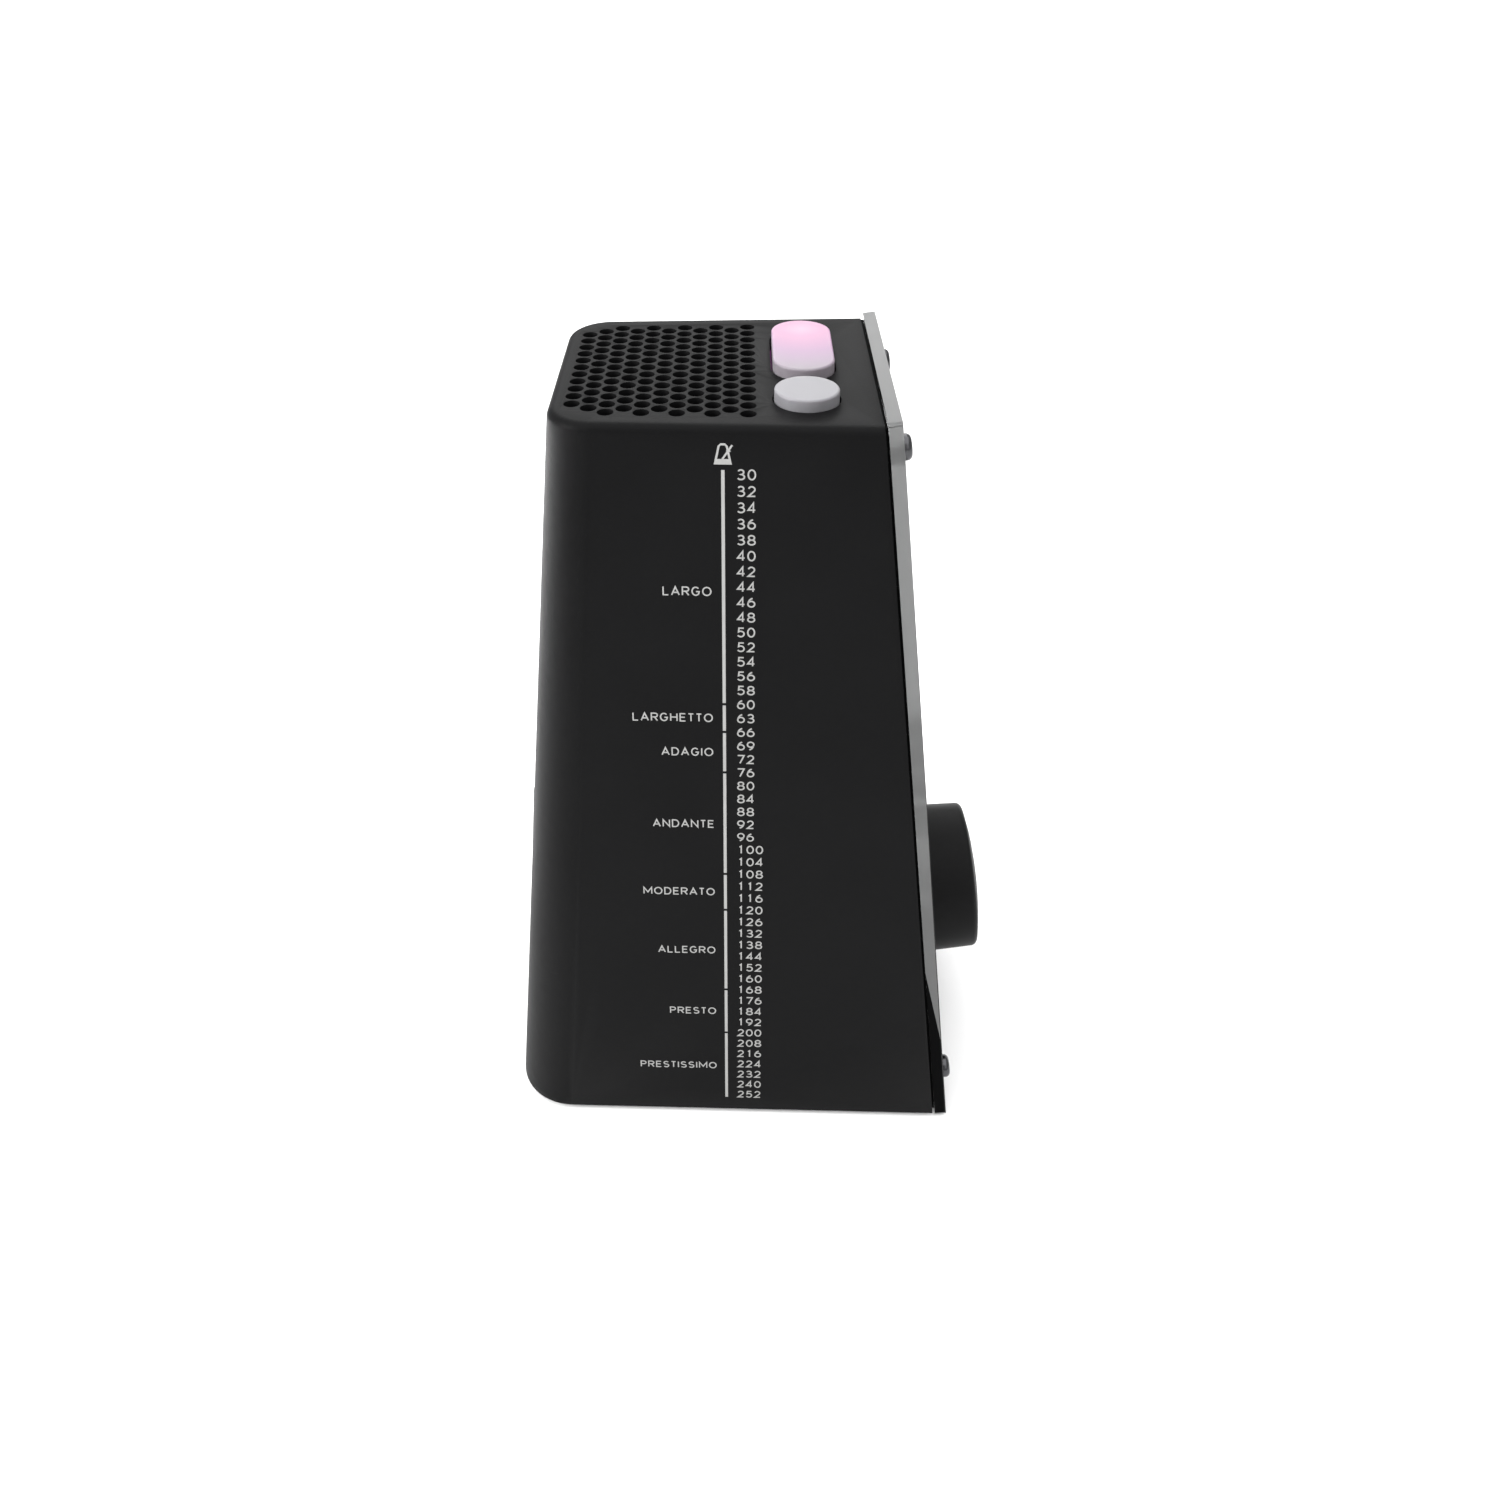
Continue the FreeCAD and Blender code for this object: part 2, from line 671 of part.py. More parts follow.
pieces = {
    "housing": make_housing(),
    "base_plate": make_base(),
    "front_frame": make_front_frame(),
    "panel_sheet": make_panel_sheet(),
    "front_panel": make_front_panel(),
    "lcd_glass": make_lcd_glass(),
    "lcd_tray": make_lcd_tray(),
    "main_board": make_main_board(),
    "encoder_body": make_encoder(),
    "encoder_nut": make_encoder_nut(),
    "knob_shaft": make_knob_shaft(),
    "knob": make_knob(),
    "light_button": make_light_button(),
    "round_button": make_round_button(),
    "top_board": make_top_board(),
    "light_switch": make_top_switch(0.5),
    "round_switch": make_top_switch(round_x),
    "beat_lamp": make_beat_lamp(),
    "grille_cloth": make_grille_cloth(),
    "speaker_basket": make_speaker_basket(),
    "speaker_cone": make_speaker_cone(),
    "speaker_magnet": make_speaker_magnet(),
    "speaker_clamp": make_speaker_clamp(),
    "battery_tray": make_tray(),
    "battery_springs": make_cell_springs(),
    "battery_plate": make_cell_plate(),
    "battery_door": make_door(),
    "rear_board": make_rear_board(),
    "phones_jack": make_jack(),
    "volume_pot": make_pot(),
    "volume_wheel": make_wheel(),
}
pieces.update(numbered("base_screw", base_post, make_base_screw))
pieces.update(numbered("foot", foot_places, make_foot))
pieces.update(numbered("panel_screw", panel_screw_places(), make_panel_screw))
pieces.update(numbered("board_screw", board_post_places()[1:3], make_board_screw))
pieces.update(numbered("key", [(u,) for u in key_places()], make_key))
pieces.update(numbered("key_switch", [(u,) for u in key_places()], make_key_switch))
pieces.update(numbered("clamp_screw", [(-clamp_post_x,), (clamp_post_x,)], make_clamp_screw))
pieces.update(numbered("battery", [(u,) for u in cell_places()], make_cell))

os.makedirs("parts", exist_ok=True)
for name, shape in pieces.items():
    shape.exportStep(f"parts/{name}.step")
    print(name, shape.ShapeType, len(shape.Solids), shape.isValid(), round(shape.Volume, 1))
whole = Part.makeCompound(list(pieces.values())).BoundBox
print("nodes", len(pieces), "box", whole)
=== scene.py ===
import math

import bpy
from mathutils import Matrix, Vector


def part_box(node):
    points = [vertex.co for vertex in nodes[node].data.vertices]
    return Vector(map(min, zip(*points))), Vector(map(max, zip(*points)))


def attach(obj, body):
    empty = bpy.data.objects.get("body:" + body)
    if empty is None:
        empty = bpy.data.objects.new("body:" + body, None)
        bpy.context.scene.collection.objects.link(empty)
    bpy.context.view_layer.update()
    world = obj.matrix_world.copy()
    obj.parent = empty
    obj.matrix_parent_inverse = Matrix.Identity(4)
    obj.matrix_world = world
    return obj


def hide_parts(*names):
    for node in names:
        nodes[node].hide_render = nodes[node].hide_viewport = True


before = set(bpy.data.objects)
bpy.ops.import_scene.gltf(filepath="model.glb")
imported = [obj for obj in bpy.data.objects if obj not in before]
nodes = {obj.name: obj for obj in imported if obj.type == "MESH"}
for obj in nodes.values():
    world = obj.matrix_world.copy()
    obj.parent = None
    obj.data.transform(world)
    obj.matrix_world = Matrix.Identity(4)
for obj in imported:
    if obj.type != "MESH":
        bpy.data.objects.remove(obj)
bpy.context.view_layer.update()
bpy.ops.object.select_all(action="DESELECT")
mm = 0.001

# ------------------------------------------------------------------ camera
# A short lens close to the scale side, looking down on the top, as a catalogue picture of the
# object is taken.  The lens is raised a little so that the uprights keep most of their lean.
camera_place = (-187.5, 2.35, 204.9)
camera_tilt = 31.58             # degrees below the horizon
camera_data = bpy.data.cameras.new("camera")
camera_data.sensor_width = 36.0
camera_data.lens = 31.88
camera_data.shift_x = 0.007
camera_data.shift_y = -0.10
camera_data.clip_start = 0.01
camera = bpy.data.objects.new("camera", camera_data)
camera.location = Vector(camera_place) * mm
camera.rotation_euler = (math.radians(90 - camera_tilt), 0, math.radians(-90))
bpy.context.scene.collection.objects.link(camera)
bpy.context.scene.camera = camera

# ------------------------------------------------------------------ studio
# A pale table that runs far out, a dim even sky and soft lights: one overhead, one beyond the far
# side that glances off the top, one behind, a weak one in front, and one that only brightens the
# table behind the case, which the rounded rear corner mirrors.
bpy.ops.mesh.primitive_plane_add(size=12.0, location=(0, 0, 0))
floor = bpy.context.active_object
floor.name = "floor"
floor_finish = bpy.data.materials.new("pale_floor")
floor_finish.use_nodes = True
floor_shader = floor_finish.node_tree.nodes["Principled BSDF"]
floor_shader.inputs["Base Color"].default_value = (0.94, 0.94, 0.94, 1)
floor_shader.inputs["Roughness"].default_value = 0.8
floor_shader.inputs["Specular IOR Level"].default_value = 0.1
floor.data.materials.append(floor_finish)

world = bpy.data.worlds.new("sky")
world.use_nodes = True
world.node_tree.nodes["Background"].inputs["Color"].default_value = (1, 1, 1, 1)
world.node_tree.nodes["Background"].inputs["Strength"].default_value = 0.7
bpy.context.scene.world = world
bpy.context.scene.view_settings.view_transform = "Standard"


def soft_light(name, place, aim, size, power, spread=180.0):
    """A square soft light at a place, turned to an aim point."""
    data = bpy.data.lights.new(name, "AREA")
    data.size = size
    data.energy = power
    data.spread = math.radians(spread)
    lamp = bpy.data.objects.new(name, data)
    lamp.location = place
    lamp.rotation_euler = (Vector(aim) - Vector(place)).to_track_quat("-Z", "Y").to_euler()
    bpy.context.scene.collection.objects.link(lamp)


soft_light("overhead_light", (0.0, 0.0, 1.6), (0, 0, 0), 2.4, 36.0)
soft_light("far_light", (1.1, 0.1, 0.9), (0, 0, 0.1), 1.0, 7.0)
soft_light("rear_light", (-0.35, 1.1, 0.6), (0, 0, 0.08), 0.6, 17.0)
soft_light("near_light", (-1.1, -0.5, 0.8), (0, 0, 0.08), 0.8, 2.0)
soft_light("table_light", (0.13, 0.42, 0.45), (0.13, 0.42, 0.0), 0.3, 3.5, 70.0)

# ------------------------------------------------------------------ case
# The tapered case is one black ABS moulding with a fine spark-eroded grain.  The loose CAD faces are
# welded and its rims get the small radius that a mould leaves, so that they catch the light.


def new_group(name, inputs, outputs):
    """An empty shader group with float inputs (name, default) and float outputs."""
    group = bpy.data.node_groups.new(name, "ShaderNodeTree")
    for label, value in inputs:
        socket = group.interface.new_socket(label, in_out="INPUT", socket_type="NodeSocketFloat")
        socket.default_value = value
    for label in outputs:
        group.interface.new_socket(label, in_out="OUTPUT", socket_type="NodeSocketFloat")
    return group, group.nodes.new("NodeGroupInput"), group.nodes.new("NodeGroupOutput")


def scaled(tree, source, low, high):
    """Spreads a 0 to 1 value evenly from low to high."""
    node = tree.nodes.new("ShaderNodeMapRange")
    node.inputs["To Min"].default_value = low
    node.inputs["To Max"].default_value = high
    tree.links.new(source, node.inputs["Value"])
    return node.outputs["Result"]


def noise(tree, place, detail):
    """A noise texture on a place output."""
    node = tree.nodes.new("ShaderNodeTexNoise")
    node.inputs["Detail"].default_value = detail
    tree.links.new(place, node.inputs["Vector"])
    return node


def moulded_grain_group():
    """Moulded grain: a fine even bump, with slow patches where the mould or a hand has polished it."""
    group, given, out = new_group(
        "moulded_grain", [("Scale", 2600.0), ("Patch Scale", 60.0)], ["Height", "Patches"])
    place = group.nodes.new("ShaderNodeTexCoord").outputs["Object"]
    fine = noise(group, place, 3.0)
    fine.inputs["Roughness"].default_value = 0.6
    slow = noise(group, place, 4.0)
    group.links.new(given.outputs["Scale"], fine.inputs["Scale"])
    group.links.new(given.outputs["Patch Scale"], slow.inputs["Scale"])
    group.links.new(fine.outputs["Fac"], out.inputs["Height"])
    group.links.new(slow.outputs["Fac"], out.inputs["Patches"])
    return group


moulded_grain = moulded_grain_group()


def grained(name, dark, light, rough, specular, bump, scale=2600.0, patch_scale=60.0, metallic=0.0):
    """A finish whose colour runs from dark to light, and its roughness over rough, with the patches."""
    material = bpy.data.materials.new(name)
    material.use_nodes = True
    tree = material.node_tree
    shader = tree.nodes["Principled BSDF"]
    shader.inputs["Specular IOR Level"].default_value = specular
    shader.inputs["Metallic"].default_value = metallic
    skin = tree.nodes.new("ShaderNodeGroup")
    skin.name = "skin"
    skin.node_tree = moulded_grain
    skin.inputs["Scale"].default_value = scale
    skin.inputs["Patch Scale"].default_value = patch_scale
    colour = tree.nodes.new("ShaderNodeMix")
    colour.name = "colour"
    colour.data_type = "RGBA"
    colour.inputs["A"].default_value = (*dark, 1)
    colour.inputs["B"].default_value = (*light, 1)
    tree.links.new(skin.outputs["Patches"], colour.inputs["Factor"])
    tree.links.new(colour.outputs["Result"], shader.inputs["Base Color"])
    tree.links.new(scaled(tree, skin.outputs["Patches"], *rough), shader.inputs["Roughness"])
    relief = tree.nodes.new("ShaderNodeBump")
    relief.inputs["Distance"].default_value = bump * mm
    relief.inputs["Strength"].default_value = 0.6
    tree.links.new(skin.outputs["Height"], relief.inputs["Height"])
    tree.links.new(relief.outputs["Normal"], shader.inputs["Normal"])
    return material


def only(piece):
    """Selects one piece and nothing else."""
    bpy.ops.object.select_all(action="DESELECT")
    piece.select_set(True)
    bpy.context.view_layer.objects.active = piece


def finished(piece, finish, body, smooth=35.0):
    """Shading, finish, slot and body of a piece."""
    only(piece)
    bpy.ops.object.shade_smooth_by_angle(angle=math.radians(smooth))
    piece.data.materials.clear()
    piece.data.materials.append(finish)
    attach(piece, body)
    return piece


def soften_rims(piece, width, segments=2, angle=35.0):
    """Rounds the sharp edges of a piece."""
    only(piece)
    rim = piece.modifiers.new("rim", "BEVEL")
    rim.width = width * mm
    rim.segments = segments
    rim.limit_method = "ANGLE"
    rim.angle_limit = math.radians(angle)
    bpy.ops.object.modifier_apply(modifier="rim")


def welded(node, name, finish, body, rim=0.0, flat=0.3, smooth=35.0):
    """A copy of a CAD node as one clean mesh, its sharp rims softened, standing for that node."""
    piece = bpy.data.objects.new(name, nodes[node].data.copy())
    bpy.context.scene.collection.objects.link(piece)
    only(piece)
    bpy.ops.object.mode_set(mode="EDIT")
    bpy.ops.mesh.select_all(action="SELECT")
    bpy.ops.mesh.remove_doubles(threshold=0.002 * mm)
    bpy.ops.mesh.dissolve_limited(angle_limit=math.radians(flat))
    bpy.ops.mesh.customdata_custom_splitnormals_clear()
    bpy.ops.object.mode_set(mode="OBJECT")
    if rim:
        soften_rims(piece, rim)
    finished(piece, finish, body, smooth)
    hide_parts(node)
    return piece


case_plastic = grained(
    "case_plastic", (0.0038, 0.0038, 0.0040), (0.0060, 0.0060, 0.0063), (0.40, 0.52), 0.045, 0.02)
case_shell = welded("housing", "case_shell", case_plastic, "case", rim=0.12, flat=0.05)

# ------------------------------------------------------------------ tempo scale
# The scale is screen printed in light grey ink on the -X side: a tempo mark over a bar, the bar cut
# into the classic tempo ranges with their names behind it, and forty-nine figures in front of it.
ink_thick = 0.03
figure_line = 0.22
name_line = 0.2
scale_step = 2.475              # from one figure to the next
first_row = 2.776               # steps from the top of the case down to the figure 30
scale_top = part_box("housing")[1].z / mm - first_row * scale_step
bar_y = 4.65
bar_width = 0.48
bar_gap = 0.45
figure_y = 2.73                 # left edge of the figures
figure_cap = 1.65
name_y = 6.38                   # right edge of the names
name_cap = 1.5
mark_low = 125.09
mark_high = 128.18
shortest_mitre = 0.35           # keeps the points of sharp corners short
print_start = -40.0             # prints are pressed onto the side from here, outside the case
press_gap = 0.012
tempo_steps = [(30, 60, 2), (63, 72, 3), (76, 120, 4), (126, 144, 6), (152, 240, 8), (252, 252, 1)]
tempo_ranges = [
    ("LARGO", -0.35, 15), ("LARGHETTO", 15, 17), ("ADAGIO", 17, 20), ("ANDANTE", 20, 28),
    ("MODERATO", 28, 31), ("ALLEGRO", 31, 38), ("PRESTO", 38, 42), ("PRESTISSIMO", 42, 48.39)]


def row_z(row):
    """Height of a row of the scale, row 0 being the figure 30."""
    return scale_top - row * scale_step


def flat_plate(*loops):
    """A flat plate inside closed outlines of points in millimetres; an inner outline is a hole."""
    curve = bpy.data.curves.new("plate", "CURVE")
    curve.dimensions = "2D"
    curve.fill_mode = "BOTH"
    for loop in loops:
        spline = curve.splines.new("POLY")
        spline.points.add(len(loop) - 1)
        for point, (x, y) in zip(spline.points, loop):
            point.co = (x * mm, y * mm, 0, 1)
        spline.use_cyclic_u = True
    plate = bpy.data.objects.new("plate", curve)
    bpy.context.scene.collection.objects.link(plate)
    only(plate)
    bpy.ops.object.convert(target="MESH")
    return bpy.context.active_object


def ribbon(points, width, closed=False):
    """Outline of a line of even width; a closed line gives its outer and inner outline."""
    line = [Vector(point) for point in points]
    left = []
    right = []
    for i, here in enumerate(line):
        sides = []
        if i > 0 or closed:
            run = (here - line[i - 1]).normalized()
            sides.append(Vector((-run.y, run.x)))
        if i + 1 < len(line) or closed:
            run = (line[(i + 1) % len(line)] - here).normalized()
            sides.append(Vector((-run.y, run.x)))
        mitre = (sides[0] + sides[-1]).normalized()
        reach = width / 2 / max(mitre.dot(sides[0]), shortest_mitre)
        left.append(here + mitre * reach)
        right.append(here - mitre * reach)
    return [left, right] if closed else [left + right[::-1]]


def arc(x, y, half_x, half_y, start, end):
    """Points of an elliptic arc between two angles in degrees."""
    count = max(6, round(abs(end - start) / 20))
    angles = [math.radians(start + (end - start) * i / count) for i in range(count + 1)]
    return [(x + half_x * math.cos(a), y + half_y * math.sin(a)) for a in angles]


# Every sign is a few centre lines in a box one wide and one high.  A line whose last point repeats
# its first is closed.  The widths are shares of the height of a capital.
bowl = arc(0.6, 0.74, 0.4, 0.26, 90, -90)
signs = {
    "0": (0.73, [arc(0.5, 0.5, 0.5, 0.5, 0, 360)]),
    "1": (0.73, [[(0.3, 0.84), (0.56, 1), (0.56, 0)]]),
    "2": (0.73, [arc(0.5, 0.71, 0.44, 0.29, 165, -38) + [(0.03, 0), (1, 0)]]),
    "3": (0.73, [arc(0.47, 0.76, 0.4, 0.24, 155, -90) + arc(0.47, 0.26, 0.5, 0.26, 90, -150)[1:]]),
    "4": (0.73, [[(0.74, 0), (0.74, 1), (0, 0.27), (0.61, 0.27)], [(0.86, 0.27), (1, 0.27)]]),
    "5": (0.73, [[(0.92, 1), (0.2, 1)] + arc(0.46, 0.32, 0.5, 0.32, 130, -150)]),
    "6": (0.73, [arc(0.5, 0.32, 0.5, 0.32, 0, 360), arc(0.92, 0.3, 0.9, 0.7, 105, 168)]),
    "7": (0.73, [[(0, 1), (1, 1), (0.35, 0)]]),
    "8": (0.73, [arc(0.5, 0.76, 0.42, 0.24, 0, 360), arc(0.5, 0.26, 0.5, 0.26, 0, 360)]),
    "9": (0.73, [arc(0.5, 0.68, 0.5, 0.32, 0, 360), arc(0.08, 0.7, 0.9, 0.7, 285, 348)]),
    "A": (0.85, [[(0, 0), (0.5, 1), (1, 0)], [(0.27, 0.32), (0.73, 0.32)]]),
    "D": (0.78, [[(0, 0), (0, 1)] + arc(0.45, 0.5, 0.55, 0.5, 90, -90) + [(0, 0)]]),
    "E": (0.66, [[(1, 1), (0, 1), (0, 0), (1, 0)], [(0.13, 0.52), (0.9, 0.52)]]),
    "G": (0.84, [arc(0.5, 0.5, 0.5, 0.5, 42, 325) + [(0.97, 0.46), (0.55, 0.46)]]),
    "H": (0.77, [[(0, 0), (0, 1)], [(1, 0), (1, 1)], [(0.11, 0.52), (0.89, 0.52)]]),
    "I": (0.15, [[(0, 0), (0, 1)]]),
    "L": (0.63, [[(0, 1), (0, 0), (1, 0)]]),
    "M": (0.98, [[(0, 0), (0, 1), (0.5, 0.25), (1, 1), (1, 0)]]),
    "N": (0.80, [[(0, 0), (0, 1), (1, 0), (1, 1)]]),
    "O": (0.92, [arc(0.5, 0.5, 0.5, 0.5, 0, 360)]),
    "P": (0.70, [[(0, 0), (0, 1)] + bowl + [(0.14, 0.48)]]),
    "R": (0.74, [[(0, 0), (0, 1)] + bowl + [(0.14, 0.48)], [(0.56, 0.42), (1, 0)]]),
    "S": (0.72, [arc(0.5, 0.755, 0.45, 0.245, 30, 270) + arc(0.5, 0.255, 0.48, 0.255, 90, -150)[1:]]),
    "T": (0.62, [[(0, 1), (1, 1)], [(0.5, 0.92), (0.5, 0)]])}
letter_gap = 0.19
figure_pitch = 0.9


def lettering(words, cap, x, y, line, from_right=False):
    """Flat plates of a word in lines of even width, its capitals cap tall and centred on y."""
    lefts = []
    reach = 0.0
    for sign in words:
        lefts.append(reach)
        reach += figure_pitch if sign.isdigit() else signs[sign][0] + letter_gap
    start = x - (reach - letter_gap) * cap if from_right else x
    plates = []
    for sign, left in zip(words, lefts):
        wide, lines = signs[sign]
        for points in lines:
            closed = math.dist(points[0], points[-1]) < 0.001
            placed = [(start + left * cap + line / 2 + px * (wide * cap - line),
                       y - cap / 2 + line / 2 + py * (cap - line)) for px, py in points]
            plates.append(flat_plate(*ribbon(placed[:-1] if closed else placed, line, closed)))
    return plates


def strip(x, low, high, width, cuts):
    """A narrow upright strip cut across, so that it can follow a bowed surface."""
    bpy.ops.mesh.primitive_plane_add(size=1.0)
    piece = bpy.context.active_object
    bpy.ops.object.mode_set(mode="EDIT")
    bpy.ops.mesh.subdivide(number_cuts=cuts)
    bpy.ops.object.mode_set(mode="OBJECT")
    piece.data.transform(
        Matrix.Translation(Vector((x, (low + high) / 2, 0)) * mm)
        @ Matrix.Diagonal((width * mm, (high - low) * mm, 1, 1)))
    return piece


def joined(name, parts):
    """Joins parts into one named piece whose faces look up."""
    bpy.ops.object.select_all(action="DESELECT")
    for part in parts:
        part.select_set(True)
    bpy.context.view_layer.objects.active = parts[0]
    bpy.ops.object.join()
    piece = bpy.context.active_object
    piece.name = name
    bpy.ops.object.mode_set(mode="EDIT")
    bpy.ops.mesh.select_all(action="DESELECT")
    bpy.ops.object.mode_set(mode="OBJECT")
    for face in piece.data.polygons:
        face.select = face.normal.z < 0
    bpy.ops.object.mode_set(mode="EDIT")
    bpy.ops.mesh.flip_normals()
    bpy.ops.object.mode_set(mode="OBJECT")
    return piece


def thickened(piece, thick):
    """Gives a flat piece its thickness, outwards."""
    only(piece)
    build = piece.modifiers.new("thickness", "SOLIDIFY")
    build.thickness = thick * mm
    build.offset = 1.0
    bpy.ops.object.modifier_apply(modifier="thickness")
    return piece


def pressed(piece, target, method):
    """Presses a flat piece onto another piece, a hair above its surface."""
    only(piece)
    press = piece.modifiers.new("press", "SHRINKWRAP")
    press.target = target
    press.wrap_method = method
    press.use_project_x = True
    press.use_positive_direction = True
    press.use_negative_direction = False
    press.wrap_mode = "ABOVE_SURFACE"
    press.offset = press_gap * mm
    bpy.ops.object.modifier_apply(modifier="press")
    return piece


def on_scale_side(piece):
    """Stands a flat piece up beside the -X side, presses it onto the case and thickens it."""
    turn = Matrix(((0, 0, -1), (-1, 0, 0), (0, 1, 0))).to_4x4()
    piece.data.transform(Matrix.Translation(Vector((print_start, 0, 0)) * mm) @ turn)
    return thickened(pressed(piece, case_shell, "PROJECT"), ink_thick)


scale_ink = grained(
    "scale_ink", (0.28, 0.28, 0.274), (0.335, 0.335, 0.329), (0.5, 0.6), 0.25, 0.004, 5000.0, 700.0)
tempos = [t for low, high, by in tempo_steps for t in range(low, high + 1, by)]
figures = []
for row, tempo in enumerate(tempos):
    figures += lettering(str(tempo), figure_cap, -figure_y, row_z(row), figure_line)
finished(on_scale_side(joined("scale_figures", figures)), scale_ink, "case")

names = []
bars = []
for name, first, last in tempo_ranges:
    names += lettering(name, name_cap, -name_y, row_z((first + last) / 2), name_line, from_right=True)
    bars.append(strip(-bar_y, row_z(last) + bar_gap / 2, row_z(first) - bar_gap / 2, bar_width, 3))
finished(on_scale_side(joined("scale_names", names)), scale_ink, "case")
finished(on_scale_side(joined("scale_bar", bars)), scale_ink, "case")


def tempo_mark(x, low, high):
    """The sign over the bar: a rounded tapered case in outline, its base filled, and its pendulum."""
    wide = 1.26
    narrow = 0.62
    line = 0.3
    base = 0.8

    def half(y):
        """Half width of the outline at a height."""
        return wide + (narrow - wide) * (y - low) / (high - low)

    outer = [(x - wide, low), (x + wide, low), (x + half(high - 0.4), high - 0.4),
             (x + narrow - 0.3, high), (x - narrow + 0.3, high), (x - half(high - 0.4), high - 0.4)]
    floor_y = low + base
    top_y = high - line
    inner = [(x - half(floor_y) + line, floor_y), (x + half(floor_y) - line, floor_y),
             (x + half(top_y - 0.2) - line, top_y - 0.2), (x + narrow - 0.34, top_y),
             (x - narrow + 0.34, top_y), (x - half(top_y - 0.2) + line, top_y - 0.2)]
    pendulum = ribbon([(x - 0.12, floor_y - 0.1), (x + 1.3, high - 0.25)], 0.27)
    weight = ribbon([(x + 0.56, low + 1.84), (x + 1.0, low + 2.1)], 0.42)
    return [flat_plate(outer, inner), flat_plate(*pendulum), flat_plate(*weight)]


mark = joined("scale_mark", tempo_mark(-bar_y, mark_low, mark_high))
finished(on_scale_side(mark), scale_ink, "case")

# ------------------------------------------------------------------ top buttons
# Two press buttons of translucent white plastic.  The long one is a light guide over the beat lamp,
# which stands under its far end.  The lamp's pink light is painted on it: a pinker lit copy of the
# plastic, and an emission glow on its upward faces that fades along the button away from the lamp.
button_rough = (0.36, 0.46)
glow_reach = 17.0               # how far from the lamp the glow ends
glow_depth = 3.0                # it fades this many times faster downwards
button_plastic = grained(
    "button_plastic", (0.212, 0.209, 0.222), (0.232, 0.229, 0.242), button_rough, 0.3, 0.006,
    patch_scale=40.0)
lit_plastic = grained(
    "lit_button_plastic", (0.222, 0.202, 0.222), (0.241, 0.219, 0.241), button_rough, 0.3, 0.006,
    patch_scale=40.0)
lit = lit_plastic.node_tree
lit_shader = lit.nodes["Principled BSDF"]
for shader in (button_plastic.node_tree.nodes["Principled BSDF"], lit_shader):
    shader.inputs["Subsurface Weight"].default_value = 0.65
    shader.inputs["Subsurface Radius"].default_value = (1.0, 0.9, 0.95)
    shader.inputs["Subsurface Scale"].default_value = 1.9 * mm
lamp_low, lamp_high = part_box("beat_lamp")
glow_spot = (lamp_low + lamp_high) / 2
glow_spot.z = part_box("light_button")[1].z
# Painted glow: emission strongest over the lamp, fading with distance, faster downwards, and only on faces
# that look up
away = lit.nodes.new("ShaderNodeVectorMath")
away.operation = "SUBTRACT"
away.inputs[1].default_value = glow_spot
deepened = lit.nodes.new("ShaderNodeVectorMath")
deepened.operation = "MULTIPLY"
deepened.inputs[1].default_value = (1.0, 1.0, glow_depth)
distance = lit.nodes.new("ShaderNodeVectorMath")
distance.operation = "LENGTH"
lit.links.new(lit.nodes.new("ShaderNodeTexCoord").outputs["Object"], away.inputs[0])
lit.links.new(away.outputs["Vector"], deepened.inputs[0])
lit.links.new(deepened.outputs["Vector"], distance.inputs[0])
fade = lit.nodes.new("ShaderNodeMapRange")
fade.inputs["From Min"].default_value = 0.0
fade.inputs["From Max"].default_value = glow_reach * mm
fade.inputs["To Min"].default_value = 1.0
fade.inputs["To Max"].default_value = 0.0
lit.links.new(distance.outputs["Value"], fade.inputs["Value"])
facing = lit.nodes.new("ShaderNodeSeparateXYZ")
lit.links.new(lit.nodes.new("ShaderNodeTexCoord").outputs["Normal"], facing.inputs["Vector"])
upward = lit.nodes.new("ShaderNodeMath")
upward.operation = "MULTIPLY"
upward.use_clamp = True
lit.links.new(fade.outputs["Result"], upward.inputs[0])
lit.links.new(facing.outputs["Z"], upward.inputs[1])
glow = lit.nodes.new("ShaderNodeValToRGB")
glow_steps = [
    (0.0, (0.0, 0.0, 0.0)), (0.25, (0.08, 0.0, 0.08)), (0.45, (0.15, 0.0, 0.13)),
    (0.62, (0.25, 0.015, 0.165)), (0.82, (0.37, 0.05, 0.21)), (1.0, (0.37, 0.15, 0.28))]
for place, colour in glow_steps[1:-1]:
    glow.color_ramp.elements.new(place)
for element, (place, colour) in zip(glow.color_ramp.elements, glow_steps):
    element.position = place
    element.color = (*colour, 1)
lit.links.new(upward.outputs["Value"], glow.inputs["Fac"])
lit.links.new(glow.outputs["Color"], lit_shader.inputs["Emission Color"])
lit_shader.inputs["Emission Strength"].default_value = 1.0
welded("light_button", "long_button", lit_plastic, "light_button_body")
welded("round_button", "small_button", button_plastic, "round_button_body")

# ------------------------------------------------------------------ clear front panel
# A 2 mm plate of cast acrylic with satin milled edges and a fine polished bevel round its front; the
# bevel is painted near-black as shade.  It stands a hair off the black film behind it, and low in its
# side edges a dark wedge of the film's black is painted on, a painted reflection of that film.
front_foot = 32.35              # the front opening's distance from the middle at its foot
front_head = 17.41              # and at its head
case_rise = 129.35
foot_z = 1.15
front_lean = math.atan((front_foot - front_head) / case_rise)
front = (Matrix.Translation(Vector((0, -front_foot, foot_z)) * mm)
         @ Matrix.Rotation(math.radians(90) - front_lean, 4, "X"))
outwards = front.to_3x3() @ Vector((0, 0, 1))
from_front = front.inverted()
panel_face = 2.43               # front of the panel, out from the case's front opening
film_face = 0.4
film_gap = 0.03
bevel_width = 0.2
straight_edge = 5 * mm          # the panel's own edges are longer, those of its holes shorter
side_area = 20 * mm * mm        # a side edge is larger than this, a facet of a hole smaller
painted_wedge_back = 33.0               # height of the painted black wedge at the back of the side edges
painted_wedge_front = 16.0              # and at their front


